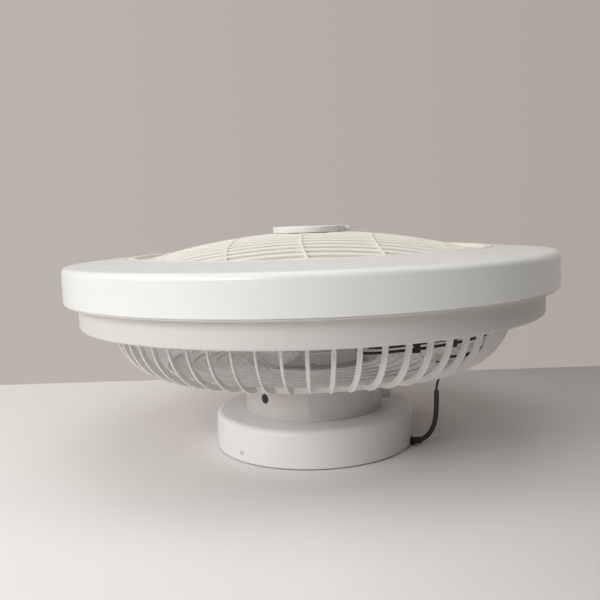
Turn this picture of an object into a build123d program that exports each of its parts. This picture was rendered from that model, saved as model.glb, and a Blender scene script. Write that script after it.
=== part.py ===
from build123d import *
from math import acos, asin, cos, degrees, pi, radians, sin, sqrt, tan
import os

os.makedirs("parts", exist_ok=True)

# Low-profile caged ceiling fan with a ring lamp, resting on its ceiling canopy.
# Millimetres. Z = 0 is the ceiling face, and +Z runs from the ceiling into the room.
# Angles are degrees about +Z from +X, so the front of the object is at -90.

# Fits
seat_gap = 0.3
screw_play = 0.35
thread_play = 0.05
running_gap = 0.03
press_gap = 0.02
face_gap = 0.05

# Ceiling canopy
canopy_r = 105.0
canopy_h = 37.5
canopy_wall = 1.2
canopy_shoulder_r = 6.5
canopy_hole_r = 20.0
side_screw_angle = -133.4
side_screw_z = 10.4
side_screw_r = 2.0
side_head_r = 3.6
side_head_h = 2.4
side_screw_slot = 0.9

# Ceiling bracket
bracket_t = 2.0
bracket_disc_r = 48.0
bracket_bar_w = 16.0
bracket_tab_gap = 0.8
bracket_tab_h = 25.0
ceiling_hole_pcd = 76.0
ceiling_hole_count = 4
ceiling_hole_r = 2.75
ceiling_cable_r = 15.0

# Neck
neck_r = 73.0
neck_wall = 2.5
neck_top = 86.0
neck_flange_t = 3.0
neck_base_bore_r = 55.0
neck_top_bore_r = 58.0
neck_screw_pcd = 124.0
neck_screw_count = 4
neck_screw_angle = 25.0
neck_screw_len = 13.0
neck_boss_h = 15.0
boss_r = 5.0
screw_r = 1.85
screw_head_r = 3.8
screw_head_h = 2.6
window_angle = -132.5
window_z = 57.5
window_r = 5.0
receiver_w = 14.0
receiver_d = 8.0
plate_start_angle = -93.5
plate_arc = 60.5
plate_z = 41.5
plate_h = 26.0
plate_t = 0.4
wing_angle = -2.0
wing_w = 8.0
wing_reach = 9.0
wing_z = 43.0
wing_h = 8.0

# Controller and terminals inside the canopy
driver_angle = -20.0
driver_l = 54.0
driver_w = 36.0
driver_floor_z = 0.4
driver_face_r = 89.0
driver_wall = 1.5
driver_pad_t = 1.4
driver_post_r = 2.5
driver_post_h = 10.0
driver_lip_h = 2.0
board_t = 1.6
board_edge_gap = 1.0
inner_lead_r = 2.2
inner_lead_play = 0.2
inner_lead_side = 14.0
motor_lead_z = 16.0
feed_lead_z = 27.0
receiver_lead_r = 1.2
motor_lead_at = 24.0
motor_lead_top = 96.2
terminal_angle = 160.0
terminal_r = 62.0
terminal_l = 34.0
terminal_w = 16.0
terminal_h = 14.0
terminal_poles = 3
terminal_screw_r = 2.2

# Lead from the canopy to the cage, in its meridian plane
lead_angle = -20.0
lead_r = 2.5
lead_z = 4.6
lead_core_r = 1.1
lead_core_gap = 0.2
lead_boot_r = 4.2
lead_boot_play = 0.1
lead_flange_r = 4.5
lead_flange_t = 1.45
lead_notch_r = 3.7
lead_sheath_top = 58.5
lead_in_r = 137.4
lead_core_top = 93.0
cage_lead_hole_r = 4.1
cage_grommet_r = 5.5
cage_grommet_t = 1.5
connector_w = 12.0
connector_d = 10.0
connector_h = 7.8

# Cage
cage_r = 205.4
cage_floor_z = neck_top
cage_plate_t = 2.5
cage_bore_r = 52.0
cage_flat_r = 153.0
cage_top_z = 138.0
cage_ring_t = 3.0
cage_ring_bore_r = 188.0
cage_hoop_w = 3.5
cage_hoop_h = 5.5
rib_count = 60
rib_t = 1.8
rib_depth = 6.0
rib_lean = 25.0
rib_phase = -90.8
cage_screw_count = 6
cage_screw_r_at = 63.5
cage_screw_angle = 30.0

# Motor
motor_plate_r = 69.0
motor_plate_t = 2.0
motor_plate_bore_r = 16.0
motor_screw_at = 30.0
motor_screw_count = 4
motor_screw_angle = 45.0
base_disc_r = 44.0
base_disc_t = 5.0
tube_r = 14.0
tube_top = 119.0
bearing_r = 11.0
bearing_t = 7.0
race_w = 2.0
shield_depth = 0.5
lower_bearing_z = 96.0
upper_bearing_z = 111.0
tube_shoulder_r = 8.0
shaft_r = 4.0
shaft_bottom = 93.0
shaft_top = 149.0
clip_t = 0.9
clip_r = 6.2
clip_groove_r = 3.3
core_z = 100.0
core_h = 16.0
tooth_count = 12
tooth_w = 5.5
yoke_r = 22.0
tooth_end_r = 38.0
core_r = 41.5
tooth_gap = 4.0
coil_t = 3.1
coil_inner_r = 23.6
coil_len = 13.0
magnet_gap = 0.8
magnet_t = 3.7
magnet_h = 20.0
rotor_wall = 2.0
rotor_skirt_z = 98.5
rotor_top = 126.0
rotor_boss_r = 9.0
rotor_boss_z = 120.5

# Impeller
hub_r = 53.0
hub_wall = 2.5
hub_bottom = 101.0
hub_top = 142.0
hub_boss_r = 12.0
pin_r = 1.5
pin_len = 20.0
pin_z = 127.8
blade_count = 7
blade_tip_r = 168.0
blade_tip_over = 4.0
blade_phase = -70.0
blade_root_plane = 44.0
blade_mid_plane = 110.0
blade_t = 2.2
blade_mid_z = 121.5
blade_root = (52.0, 38.0, 5.0, 0.0)
blade_mid = (72.0, 28.0, 6.0, 6.0)
blade_tip = (76.0, 22.0, 5.0, 16.0)
nut_r = 14.0
nut_h = 11.0
nut_edge_r = 2.0
nut_flute_r = 2.2
nut_flute_floor = 3.0
nut_flute_count = 10

# Lamp pan and duct
pan_r = 236.5
pan_wall = 2.2
pan_floor_t = 2.0
pan_rim_r = 247.6
pan_rim_z = 162.0
pan_rim_t = 2.0
pan_edge_r = 2.5
duct_r = 184.0
duct_wall = 2.0
duct_top = 199.6
duct_flange_r = 191.0
duct_flange_t = 2.4
pan_screw_count = 6
pan_screw_at = 192.3
pan_boss_h = 6.0
pan_boss_r = 4.0
small_screw_r = 1.5
small_head_r = 3.0
small_head_h = 2.4
seat_boss_count = 6
seat_boss_w = 10.0
seat_boss_d = 8.0
seat_boss_h = 12.5

# Lamp
led_board_in_r = 199.0
led_board_out_r = 230.0
led_count = 60
led_ring_r = 212.0
led_size = 5.0
led_h = 1.0
led_screw_count = 6
led_screw_at = 225.5
led_screw_angle = 15.0
led_screw_r = 1.25
led_head_r = 2.4
led_head_h = 1.6
lamp_terminal_w = 16.0
lamp_terminal_d = 8.3
lamp_lead_r = 1.3
lamp_lead_at = 195.2
lamp_lead_low_z = 125.3
lamp_lead_step = 4.2
lamp_lead_top = 141.6
high_strand_end = -77.2
high_strand_rise = 2.3
low_strand_end = -79.5
low_strand_rise = 3.3
clip_gaps = (4, 6, 8, 10)
clip_back_r = 196.2
clip_t = 1.2
clip_w = 6.0
clip_reach = 4.3

# Diffuser
diffuser_r = 250.0
diffuser_wall = 2.6
diffuser_top = 203.0
diffuser_bore_r = 187.3
diffuser_slope = 4.9
diffuser_corner_r = 6.0
diffuser_foot = 6.5
diffuser_foot_t = 2.5

# Grille seat
seat_bottom = 193.5
seat_t = 3.5
seat_in_r = 166.5
seat_screw_at = 179.7
seat_screw_r = 1.5
seat_screw_len = 10.0
seat_head_r = 2.8
lug_count = 3
lug_angle = -90.0
lug_twist = 14.0
lug_w = 8.0
lug_in_r = 171.0
lug_stem = 4.8
lug_foot_out_r = 181.0
lug_foot_t = 2.4
lug_side_gap = 0.4

# Grille
grille_r = 186.4
grille_top = 203.2
grille_lip_in_r = 179.5
grille_step_r = 183.4
grille_floor_t = 2.4
dome_top = 223.2
dome_radius = 622.0
dome_t = 5.0
dome_edge_r = 165.0
dome_foot_r = 169.5
slot_edge_r = 160.5
slat_pitch = 14.4
slat_w = 5.0
brace_pitch = 68.5
brace_w = 3.0
brace_bow = 6.5
brace_half = 159.5
cap_r = 37.4
cap_seat_z = 222.2
cap_top = 228.7
cap_wall = 2.0
cap_edge_r = 1.2
cap_tab_reach = 6.1
cap_tab_w = 7.0
cap_leg_at = 26.0
cap_leg_count = 3
cap_leg_angle = 60.0
cap_leg_r = 2.2
cap_leg_play = 0.15
cap_leg_len = 10.0
cap_tab_lift = 0.1


def spot(radius, angle, height):
    """A point from its radius, its angle about +Z and its height."""
    return (radius * cos(radians(angle)), radius * sin(radians(angle)), height)


def meridian(angle):
    """The upright plane through the axis: local x is the radius, local y is up."""
    a = radians(angle)
    return Plane(origin=(0, 0, 0), x_dir=(cos(a), sin(a), 0), z_dir=(sin(a), -cos(a), 0))


def facing(angle, radius, height):
    """A plane that looks outwards from the axis: local x is tangential, local y is up."""
    a = radians(angle)
    return Plane(
        origin=spot(radius, angle, height), x_dir=(-sin(a), cos(a), 0), z_dir=(cos(a), sin(a), 0)
    )


def turned(angle, height=0.0):
    """A level plane with its local x turned to an angle."""
    a = radians(angle)
    return Plane(origin=(0, 0, height), x_dir=(cos(a), sin(a), 0), z_dir=(0, 0, 1))


def beside(angle, radius, side, height):
    """A point from its radius along an angle, its sideways distance and its height."""
    a = radians(angle)
    return (
        radius * cos(a) - side * sin(a), radius * sin(a) + side * cos(a), height
    )


def bend_radii(points):
    """The largest fair radius at each corner: 0.45 of the shorter run over tan(half the turn)."""
    radii = []
    for before, corner, after in zip(points, points[1:], points[2:]):
        run_in = Vector(*corner) - Vector(*before)
        run_out = Vector(*after) - Vector(*corner)
        half_turn = radians(run_in.get_angle(run_out)) / 2
        radii.append(0.45 * min(run_in.length, run_out.length) / tan(half_turn))
    return radii


def lead_tube(name, points, radius):
    """A round lead on straight runs and tangent arcs. Prints its radii, length and volume ratio."""
    radii = bend_radii(points)
    with BuildPart() as lead:
        with BuildLine() as route:
            FilletPolyline(*points, radius=radii)
        path = route.wires()[0]
        with BuildSketch(Plane(origin=path @ 0, z_dir=path % 0)):
            Circle(radius)
        sweep(path=path)
    length = path.length
    ratio = lead.part.volume / (pi * radius**2 * length)
    print(name, "radii", [round(r, 1) for r in radii], "length", round(length, 1), "ratio", round(ratio, 4))
    return lead.part


# Heights and radii that follow from the sizes above
canopy_in_r = canopy_r - canopy_wall
canopy_roof_z = canopy_h - canopy_wall
neck_in_r = neck_r - neck_wall
cage_inside_z = cage_floor_z + cage_plate_t
motor_plate_top = cage_inside_z + motor_plate_t
base_top = motor_plate_top + base_disc_t
cage_turn_r = cage_top_z - cage_floor_z
pan_floor_top = cage_top_z + pan_floor_t
seat_top = seat_bottom + seat_t
grille_under_z = duct_top + seat_gap

# Ceiling bracket: a steel disc and bar with two upright tabs for the canopy's side screws
tab_face_r = canopy_in_r - bracket_tab_gap
with BuildPart() as ceiling_bracket:
    with BuildSketch(turned(side_screw_angle)):
        Circle(bracket_disc_r)
        Rectangle(2 * tab_face_r, bracket_bar_w)
        Circle(ceiling_cable_r, mode=Mode.SUBTRACT)
        with PolarLocations(ceiling_hole_pcd / 2, ceiling_hole_count, start_angle=45):
            Circle(ceiling_hole_r, mode=Mode.SUBTRACT)
    extrude(amount=bracket_t)
    with BuildSketch(turned(side_screw_angle)):
        with PolarLocations(tab_face_r - bracket_t / 2, 2):
            Rectangle(bracket_t, bracket_bar_w)
    extrude(amount=bracket_tab_h)
    with BuildSketch(facing(side_screw_angle, 0, side_screw_z)):
        Circle(side_screw_r + thread_play)
    extrude(amount=canopy_r, both=True, mode=Mode.SUBTRACT)
ceiling_bracket.part.label = "ceiling_bracket"
export_step(ceiling_bracket.part, "parts/ceiling_bracket.step")

# Canopy: a drawn steel cup with a rounded shoulder, open towards the ceiling
with BuildPart() as canopy:
    with BuildSketch(meridian(0)):
        with BuildLine():
            Polyline(
                (canopy_r, 0), (canopy_r, canopy_h - canopy_shoulder_r)
            )
            ThreePointArc(
                (canopy_r, canopy_h - canopy_shoulder_r),
                (canopy_r - canopy_shoulder_r * (1 - cos(radians(45))),
                 canopy_h - canopy_shoulder_r * (1 - sin(radians(45)))),
                (canopy_r - canopy_shoulder_r, canopy_h),
            )
            Polyline(
                (canopy_r - canopy_shoulder_r, canopy_h), (canopy_hole_r, canopy_h),
                (canopy_hole_r, canopy_roof_z), (canopy_r - canopy_shoulder_r, canopy_roof_z),
            )
            inner_turn = canopy_shoulder_r - canopy_wall
            ThreePointArc(
                (canopy_r - canopy_shoulder_r, canopy_roof_z),
                (canopy_r - canopy_shoulder_r + inner_turn * sin(radians(45)),
                 canopy_h - canopy_shoulder_r + inner_turn * cos(radians(45))),
                (canopy_in_r, canopy_h - canopy_shoulder_r),
            )
            Polyline((canopy_in_r, canopy_h - canopy_shoulder_r), (canopy_in_r, 0), (canopy_r, 0))
        make_face()
    revolve(axis=Axis.Z)
    with BuildSketch(facing(side_screw_angle, 0, side_screw_z)):
        Circle(side_screw_r + screw_play)
    extrude(amount=canopy_r + 1, both=True, mode=Mode.SUBTRACT)
    with BuildSketch(turned(neck_screw_angle, canopy_roof_z - 1)):
        with PolarLocations(neck_screw_pcd / 2, neck_screw_count):
            Circle(screw_r + screw_play)
    extrude(amount=canopy_wall + 2, mode=Mode.SUBTRACT)
    with BuildSketch(facing(lead_angle, canopy_r - 5, 0)):
        with Locations((0, lead_z)):
            Circle(lead_notch_r)
        with Locations((0, 0)):
            Rectangle(2 * lead_notch_r, lead_z, align=(Align.CENTER, Align.MIN))
    extrude(amount=10, mode=Mode.SUBTRACT)
canopy.part.label = "canopy"
export_step(canopy.part, "parts/canopy.step")

# Canopy side screws: slotted pan heads on the wall, shanks through the bracket's tabs
with BuildPart() as canopy_screws:
    for turn in (side_screw_angle, side_screw_angle + 180):
        with BuildSketch(facing(turn, tab_face_r - 3 * bracket_t, side_screw_z)):
            Circle(side_screw_r)
        extrude(amount=canopy_r - tab_face_r + 3 * bracket_t + 0.5)
        with BuildSketch(facing(turn, canopy_r + face_gap, side_screw_z)):
            Circle(side_head_r)
        extrude(amount=side_head_h)
        with BuildSketch(facing(turn, canopy_r + side_head_h / 2, side_screw_z)):
            Rectangle(side_screw_slot, 2 * side_head_r)
        extrude(amount=side_head_h, mode=Mode.SUBTRACT)
canopy_screws.part.label = "canopy_screws"
export_step(canopy_screws.part, "parts/canopy_screws.step")

# Neck: the moulded drum between canopy and cage, with a flange and screw bosses at each end
with BuildPart() as neck:
    with BuildSketch(meridian(0)):
        Polygon(
            (neck_base_bore_r, canopy_h), (neck_r, canopy_h), (neck_r, neck_top),
            (neck_top_bore_r, neck_top), (neck_top_bore_r, neck_top - neck_flange_t),
            (neck_in_r, neck_top - neck_flange_t), (neck_in_r, canopy_h + neck_flange_t),
            (neck_base_bore_r, canopy_h + neck_flange_t),
        )
    revolve(axis=Axis.Z)
    with BuildSketch(turned(neck_screw_angle, canopy_h)):
        with PolarLocations(neck_screw_pcd / 2, neck_screw_count):
            Circle(boss_r)
    extrude(amount=neck_boss_h)
    with BuildSketch(turned(cage_screw_angle, neck_top)):
        with PolarLocations(cage_screw_r_at, cage_screw_count):
            Circle(boss_r)
    extrude(amount=-neck_boss_h)
    with BuildSketch(turned(neck_screw_angle, canopy_h)):
        with PolarLocations(neck_screw_pcd / 2, neck_screw_count):
            Circle(screw_r + thread_play)
    extrude(amount=neck_screw_len, mode=Mode.SUBTRACT)
    with BuildSketch(turned(cage_screw_angle, neck_top)):
        with PolarLocations(cage_screw_r_at, cage_screw_count):
            Circle(screw_r + thread_play)
    extrude(amount=-neck_screw_len, mode=Mode.SUBTRACT)
    with BuildSketch(facing(window_angle, neck_in_r - 2, window_z)):
        Circle(window_r)
    extrude(amount=neck_wall + 4, mode=Mode.SUBTRACT)
    with BuildSketch(turned(wing_angle, wing_z)):
        with Locations((neck_r - neck_wall / 2, 0)):
            Rectangle(neck_wall / 2 + wing_reach, wing_w, align=(Align.MIN, Align.CENTER))
    extrude(amount=wing_h)
neck.part.label = "neck"
export_step(neck.part, "parts/neck.step")

# Neck screws: from inside the canopy into the neck's lower bosses
with BuildPart() as neck_screws:
    with BuildSketch(turned(neck_screw_angle, canopy_roof_z - screw_head_h)):
        with PolarLocations(neck_screw_pcd / 2, neck_screw_count):
            Circle(screw_head_r)
    extrude(amount=screw_head_h)
    with BuildSketch(turned(neck_screw_angle, canopy_roof_z - screw_head_h)):
        with PolarLocations(neck_screw_pcd / 2, neck_screw_count):
            Circle(screw_r)
    extrude(amount=screw_head_h + canopy_wall + neck_screw_len - 1)
neck_screws.part.label = "neck_screws"
export_step(neck_screws.part, "parts/neck_screws.step")

# Rating plate: a bare curved label plate on the neck
with BuildPart() as rating_plate:
    with BuildSketch(meridian(plate_start_angle)):
        with Locations((neck_r + face_gap / 2, plate_z)):
            Rectangle(plate_t, plate_h, align=(Align.MIN, Align.MIN))
    revolve(axis=Axis.Z, revolution_arc=plate_arc)
rating_plate.part.label = "rating_plate"
export_step(rating_plate.part, "parts/rating_plate.step")

# Remote-control receiver: a black block behind the neck's window, its lens in the hole
receiver_face_r = sqrt(neck_in_r**2 - (receiver_w / 2) ** 2) - face_gap
with BuildPart() as ir_receiver:
    with BuildSketch(facing(window_angle, receiver_face_r - receiver_d, window_z)):
        Rectangle(receiver_w, receiver_w)
    extrude(amount=receiver_d)
    with BuildSketch(facing(window_angle, receiver_face_r, window_z)):
        Circle(window_r - screw_play)
    extrude(amount=neck_r - neck_wall / 2 - receiver_face_r)
ir_receiver.part.label = "ir_receiver"
export_step(ir_receiver.part, "parts/ir_receiver.step")

# Terminal block: a nylon strip under the canopy's roof, with a wire port for each pole
pole_pitch = terminal_l / terminal_poles
terminal_face_z = canopy_roof_z - terminal_h
with BuildPart() as terminal_block:
    with BuildSketch(turned(terminal_angle, terminal_face_z)):
        with Locations((terminal_r, 0)):
            Rectangle(terminal_w, terminal_l)
    extrude(amount=terminal_h)
    with BuildSketch(turned(terminal_angle, terminal_face_z)):
        with Locations((terminal_r, 0)):
            with GridLocations(terminal_w / 2, pole_pitch, 2, terminal_poles):
                Circle(terminal_screw_r + thread_play)
    extrude(amount=terminal_h / 2, mode=Mode.SUBTRACT)
terminal_block.part.label = "terminal_block"
export_step(terminal_block.part, "parts/terminal_block.step")

# Terminal screws: one on each side of every pole, recessed in the block
with BuildPart() as terminal_screws:
    with BuildSketch(turned(terminal_angle, terminal_face_z + 1)):
        with Locations((terminal_r, 0)):
            with GridLocations(terminal_w / 2, pole_pitch, 2, terminal_poles):
                Circle(terminal_screw_r)
    extrude(amount=terminal_h / 2 - 1)
terminal_screws.part.label = "terminal_screws"
export_step(terminal_screws.part, "parts/terminal_screws.step")

# Controller case: an open tray under the canopy's roof, its lid towards the ceiling
driver_mid_r = driver_face_r - driver_w / 2
driver_inner_r = driver_face_r - driver_w
driver_lid_top = driver_floor_z + driver_wall
driver_roof_z = canopy_roof_z - driver_pad_t
driver_inside_top = driver_roof_z - driver_wall
driver_inside_w = driver_w - 2 * driver_wall
driver_inside_l = driver_l - 2 * driver_wall
with BuildPart() as driver_case:
    with BuildSketch(turned(driver_angle, driver_lid_top)):
        with Locations((driver_mid_r, 0)):
            Rectangle(driver_w, driver_l)
    extrude(amount=driver_roof_z - driver_lid_top)
    with BuildSketch(turned(driver_angle, driver_lid_top)):
        with Locations((driver_mid_r, 0)):
            Rectangle(driver_inside_w, driver_inside_l)
    extrude(amount=driver_inside_top - driver_lid_top, mode=Mode.SUBTRACT)
    with BuildSketch(turned(driver_angle, driver_inside_top)):
        with Locations((driver_mid_r, 0)):
            with GridLocations(
                driver_inside_w - 4 * driver_post_r, driver_inside_l - 4 * driver_post_r, 2, 2
            ):
                Circle(driver_post_r)
    extrude(amount=-driver_post_h)
    with BuildSketch(facing(driver_angle, driver_face_r - 2 * driver_wall, 0)):
        with Locations((0, lead_z)):
            Circle(lead_r + inner_lead_play)
        with Locations((0, driver_lid_top)):
            Rectangle(
                2 * (lead_r + inner_lead_play), lead_z - driver_lid_top,
                align=(Align.CENTER, Align.MIN),
            )
    extrude(amount=3 * driver_wall, mode=Mode.SUBTRACT)
    with BuildSketch(facing(driver_angle, driver_inner_r - driver_wall, 0)):
        with Locations((0, motor_lead_z), (inner_lead_side, feed_lead_z)):
            Circle(inner_lead_r + inner_lead_play)
        with Locations((-inner_lead_side, feed_lead_z)):
            Circle(receiver_lead_r + inner_lead_play)
    extrude(amount=3 * driver_wall, mode=Mode.SUBTRACT)
driver_case.part.label = "driver_case"
export_step(driver_case.part, "parts/driver_case.step")

# Controller lid: a plate with a shallow lip inside the case's walls
with BuildPart() as driver_lid:
    with BuildSketch(turned(driver_angle, driver_floor_z)):
        with Locations((driver_mid_r, 0)):
            Rectangle(driver_w, driver_l)
    extrude(amount=driver_wall)
    with BuildSketch(turned(driver_angle, driver_lid_top)):
        with Locations((driver_mid_r, 0)):
            Rectangle(driver_inside_w - seat_gap, driver_inside_l - seat_gap)
            Rectangle(
                driver_inside_w - seat_gap - 2 * driver_wall,
                driver_inside_l - seat_gap - 2 * driver_wall,
                mode=Mode.SUBTRACT,
            )
    extrude(amount=driver_lip_h)
driver_lid.part.label = "driver_lid"
export_step(driver_lid.part, "parts/driver_lid.step")

# Controller board: seated on the case's four posts, its tall parts hanging towards the lid
board_top = driver_inside_top - driver_post_h
tall_parts = ((-6.0, -12.0, 6.0, 12.0), (7.0, 14.0, 5.0, 9.0), (6.0, -2.0, 4.0, 11.0))
with BuildPart() as driver_board:
    with BuildSketch(turned(driver_angle, board_top - board_t)):
        with Locations((driver_mid_r, 0)):
            Rectangle(driver_inside_w - 2 * board_edge_gap, driver_inside_l - 2 * board_edge_gap)
    extrude(amount=board_t)
    for part_x, part_y, part_r, part_h in tall_parts:
        with BuildSketch(turned(driver_angle, board_top - board_t)):
            with Locations((driver_mid_r + part_x, part_y)):
                Circle(part_r)
        extrude(amount=-part_h)
    with BuildSketch(turned(driver_angle, board_top - board_t)):
        with Locations((driver_mid_r - 6, 12)):
            Rectangle(12, 15)
    extrude(amount=-10)
driver_board.part.label = "driver_board"
export_step(driver_board.part, "parts/driver_board.step")

# Adhesive pad between the controller and the canopy's roof
with BuildPart() as driver_pad:
    with BuildSketch(turned(driver_angle, driver_roof_z)):
        with Locations((driver_mid_r, 0)):
            Rectangle(driver_w - 4 * driver_wall, driver_l - 4 * driver_wall)
    extrude(amount=driver_pad_t)
driver_pad.part.label = "driver_pad"
export_step(driver_pad.part, "parts/driver_pad.step")

# Mains feed lead: from the terminal block across the canopy to the controller
feed_points = (
    beside(driver_angle, -(terminal_r - terminal_w / 2), inner_lead_side, 29.3),
    beside(driver_angle, -43, inner_lead_side, 29.3),
    beside(driver_angle, -23, inner_lead_side - 2, 23.5),
    beside(driver_angle, 2, inner_lead_side - 2.5, 20.5),
    beside(driver_angle, 26, inner_lead_side - 1.5, 22.8),
    beside(driver_angle, 43, inner_lead_side, 26.6),
    beside(driver_angle, driver_inner_r + driver_wall, inner_lead_side, feed_lead_z),
)
with BuildPart() as feed_lead:
    add(lead_tube("feed_lead", feed_points, inner_lead_r))
feed_lead.part.label = "feed_lead"
export_step(feed_lead.part, "parts/feed_lead.step")

# Motor lead: from the controller through the canopy's hole and up to the windings
motor_points = (
    spot(driver_inner_r + driver_wall, driver_angle, motor_lead_z),
    spot(44, driver_angle, motor_lead_z + 0.6),
    spot(28, driver_angle, 21),
    spot(17, driver_angle, 33),
    spot(13.5, driver_angle, 48),
    spot(15, driver_angle, 64),
    spot(20, driver_angle, 77.5),
    spot(motor_lead_at, driver_angle, 86),
    spot(motor_lead_at, driver_angle, motor_lead_top),
)
with BuildPart() as motor_lead:
    add(lead_tube("motor_lead", motor_points, inner_lead_r))
motor_lead.part.label = "motor_lead"
export_step(motor_lead.part, "parts/motor_lead.step")

# Receiver lead: thin, from the receiver down through the canopy's hole to the controller
receiver_points = (
    spot(receiver_face_r - receiver_d, window_angle, window_z),
    spot(50, window_angle, window_z),
    spot(33, window_angle, window_z - 6),
    spot(18, window_angle + 6, window_z - 16),
    spot(12, window_angle + 22, 31),
    beside(driver_angle, 12, -inner_lead_side + 2, 26),
    beside(driver_angle, 35, -inner_lead_side, 26.4),
    beside(driver_angle, driver_inner_r + driver_wall, -inner_lead_side, feed_lead_z),
)
with BuildPart() as receiver_lead:
    add(lead_tube("receiver_lead", receiver_points, receiver_lead_r))
receiver_lead.part.label = "receiver_lead"
export_step(receiver_lead.part, "parts/receiver_lead.step")

# Lamp lead, sheathed: out of the canopy's wall, up beside the neck to just below the cage
lead_out_r = canopy_r + 27.2
sheath_points = (
    spot(driver_face_r - driver_wall, lead_angle, lead_z),
    spot(canopy_r + 6.5, lead_angle, lead_z),
    spot(canopy_r + 16.5, lead_angle, lead_z + 4.6),
    spot(canopy_r + 24, lead_angle, 21),
    spot(lead_out_r, lead_angle, 38),
    spot(lead_out_r, lead_angle, lead_sheath_top),
)
with BuildPart() as lead_sheath:
    add(lead_tube("lead_sheath", sheath_points, lead_r))
lead_sheath.part.label = "lead_sheath"
export_step(lead_sheath.part, "parts/lead_sheath.step")

# Grommet and bend boot: one rubber moulding in the canopy's notch, curving with the lead
first_turn = degrees(acos(10 / sqrt(10**2 + 4.6**2)))
first_radius = bend_radii(sheath_points)[0]
boot_r = canopy_r + 6.5 - first_radius * tan(radians(first_turn) / 2)
boot_pivot = Axis(
    spot(boot_r, lead_angle, lead_z + first_radius),
    (sin(radians(lead_angle)), -cos(radians(lead_angle)), 0),
)
with BuildPart() as lead_grommet:
    with BuildSketch(facing(lead_angle, canopy_in_r - seat_gap - lead_flange_t, lead_z)):
        Circle(lead_flange_r)
    extrude(amount=lead_flange_t)
    with BuildSketch(facing(lead_angle, canopy_in_r - seat_gap, lead_z)):
        Circle(lead_notch_r - lead_boot_play)
    extrude(amount=canopy_r - canopy_in_r + 2 * seat_gap)
    with BuildSketch(facing(lead_angle, canopy_r + lead_boot_play, lead_z)):
        Circle(lead_flange_r)
    extrude(amount=boot_r - canopy_r - lead_boot_play)
    with BuildSketch(facing(lead_angle, canopy_in_r - seat_gap - lead_flange_t - 1, lead_z)):
        Circle(lead_r + lead_boot_play)
    extrude(amount=boot_r - canopy_in_r + seat_gap + lead_flange_t + 2, mode=Mode.SUBTRACT)
    with BuildSketch(facing(lead_angle, boot_r, lead_z)):
        Circle(lead_boot_r)
        Circle(lead_r + lead_boot_play, mode=Mode.SUBTRACT)
    revolve(axis=boot_pivot, revolution_arc=first_turn)
lead_grommet.part.label = "lead_grommet"
export_step(lead_grommet.part, "parts/lead_grommet.step")

# The lead's two cores, past the end of the sheath and through the cage's grommet
core_side = lead_core_r + lead_core_gap / 2
with BuildPart() as lead_cores:
    for side in (-core_side, core_side):
        core_points = (
            beside(lead_angle, lead_out_r, side, lead_sheath_top),
            beside(lead_angle, lead_out_r, side, lead_sheath_top + 5),
            beside(lead_angle, lead_out_r + 3.4, side, 73.5),
            beside(lead_angle, lead_in_r, side, 82.5),
            beside(lead_angle, lead_in_r, side, lead_core_top),
        )
        add(lead_tube("lead_core", core_points, lead_core_r))
lead_cores.part.label = "lead_cores"
export_step(lead_cores.part, "parts/lead_cores.step")

# Cage grommet: a rubber ring in the cage's plate, round both cores
with BuildPart() as cage_grommet:
    with Locations(spot(lead_in_r, lead_angle, cage_floor_z - cage_grommet_t)):
        Cylinder(
            cage_grommet_r, cage_grommet_t, align=(Align.CENTER, Align.CENTER, Align.MIN)
        )
    with Locations(spot(lead_in_r, lead_angle, cage_inside_z)):
        Cylinder(
            cage_grommet_r, cage_grommet_t, align=(Align.CENTER, Align.CENTER, Align.MIN)
        )
    with Locations(spot(lead_in_r, lead_angle, cage_floor_z)):
        Cylinder(
            cage_lead_hole_r - lead_boot_play, cage_plate_t,
            align=(Align.CENTER, Align.CENTER, Align.MIN),
        )
    with Locations(spot(lead_in_r, lead_angle, cage_floor_z - 2 * cage_grommet_t)):
        Cylinder(
            core_side + lead_core_r + inner_lead_play, cage_plate_t + 4 * cage_grommet_t,
            align=(Align.CENTER, Align.CENTER, Align.MIN), mode=Mode.SUBTRACT,
        )
cage_grommet.part.label = "cage_grommet"
export_step(cage_grommet.part, "parts/cage_grommet.step")

# Connector inside the cage: a small block that takes the cores below and the strands outside
connector_z = cage_inside_z + cage_grommet_t + lead_boot_play
connector_face_r = lead_in_r + connector_d / 2
with BuildPart() as lamp_connector:
    with BuildSketch(turned(lead_angle, connector_z)):
        with Locations((lead_in_r, 0)):
            Rectangle(connector_d, connector_w)
    extrude(amount=connector_h)
    with BuildSketch(turned(lead_angle, connector_z)):
        with Locations((lead_in_r, -core_side), (lead_in_r, core_side)):
            Circle(lead_core_r + face_gap)
    extrude(amount=lead_core_top - connector_z, mode=Mode.SUBTRACT)
lamp_connector.part.label = "lamp_connector"
export_step(lamp_connector.part, "parts/lamp_connector.step")

# Lamp lead inside the cage: two strands along the inside of the ribs, one above the other
strand_side = lamp_lead_r + lead_core_gap / 2
strand_routes = (
    (strand_side, lamp_lead_low_z + lamp_lead_step, high_strand_end, high_strand_rise),
    (-strand_side, lamp_lead_low_z, low_strand_end, low_strand_rise),
)
with BuildPart() as lamp_lead:
    for side, height, end_angle, rise in strand_routes:
        strand_points = (
            beside(lead_angle, connector_face_r, side, connector_z + connector_h / 2),
            beside(lead_angle, 153, side, connector_z + connector_h / 2),
            beside(lead_angle, 165, side, 97),
            beside(lead_angle, 177, side, 103.3),
            beside(lead_angle, 187.5, side, 114),
            beside(lead_angle - 1, lamp_lead_at, side, height),
            spot(lamp_lead_at, -32, height),
            spot(lamp_lead_at, -43, height),
            spot(lamp_lead_at, -54, height),
            spot(lamp_lead_at, -65, height),
            spot(lamp_lead_at, end_angle + 2.4, height + 0.2),
            spot(lamp_lead_at, end_angle, height + rise),
            spot(lamp_lead_at, end_angle, lamp_lead_top),
        )
        add(lead_tube("lamp_strand", strand_points, lamp_lead_r))
lamp_lead.part.label = "lamp_lead"
export_step(lamp_lead.part, "parts/lamp_lead.step")

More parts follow.
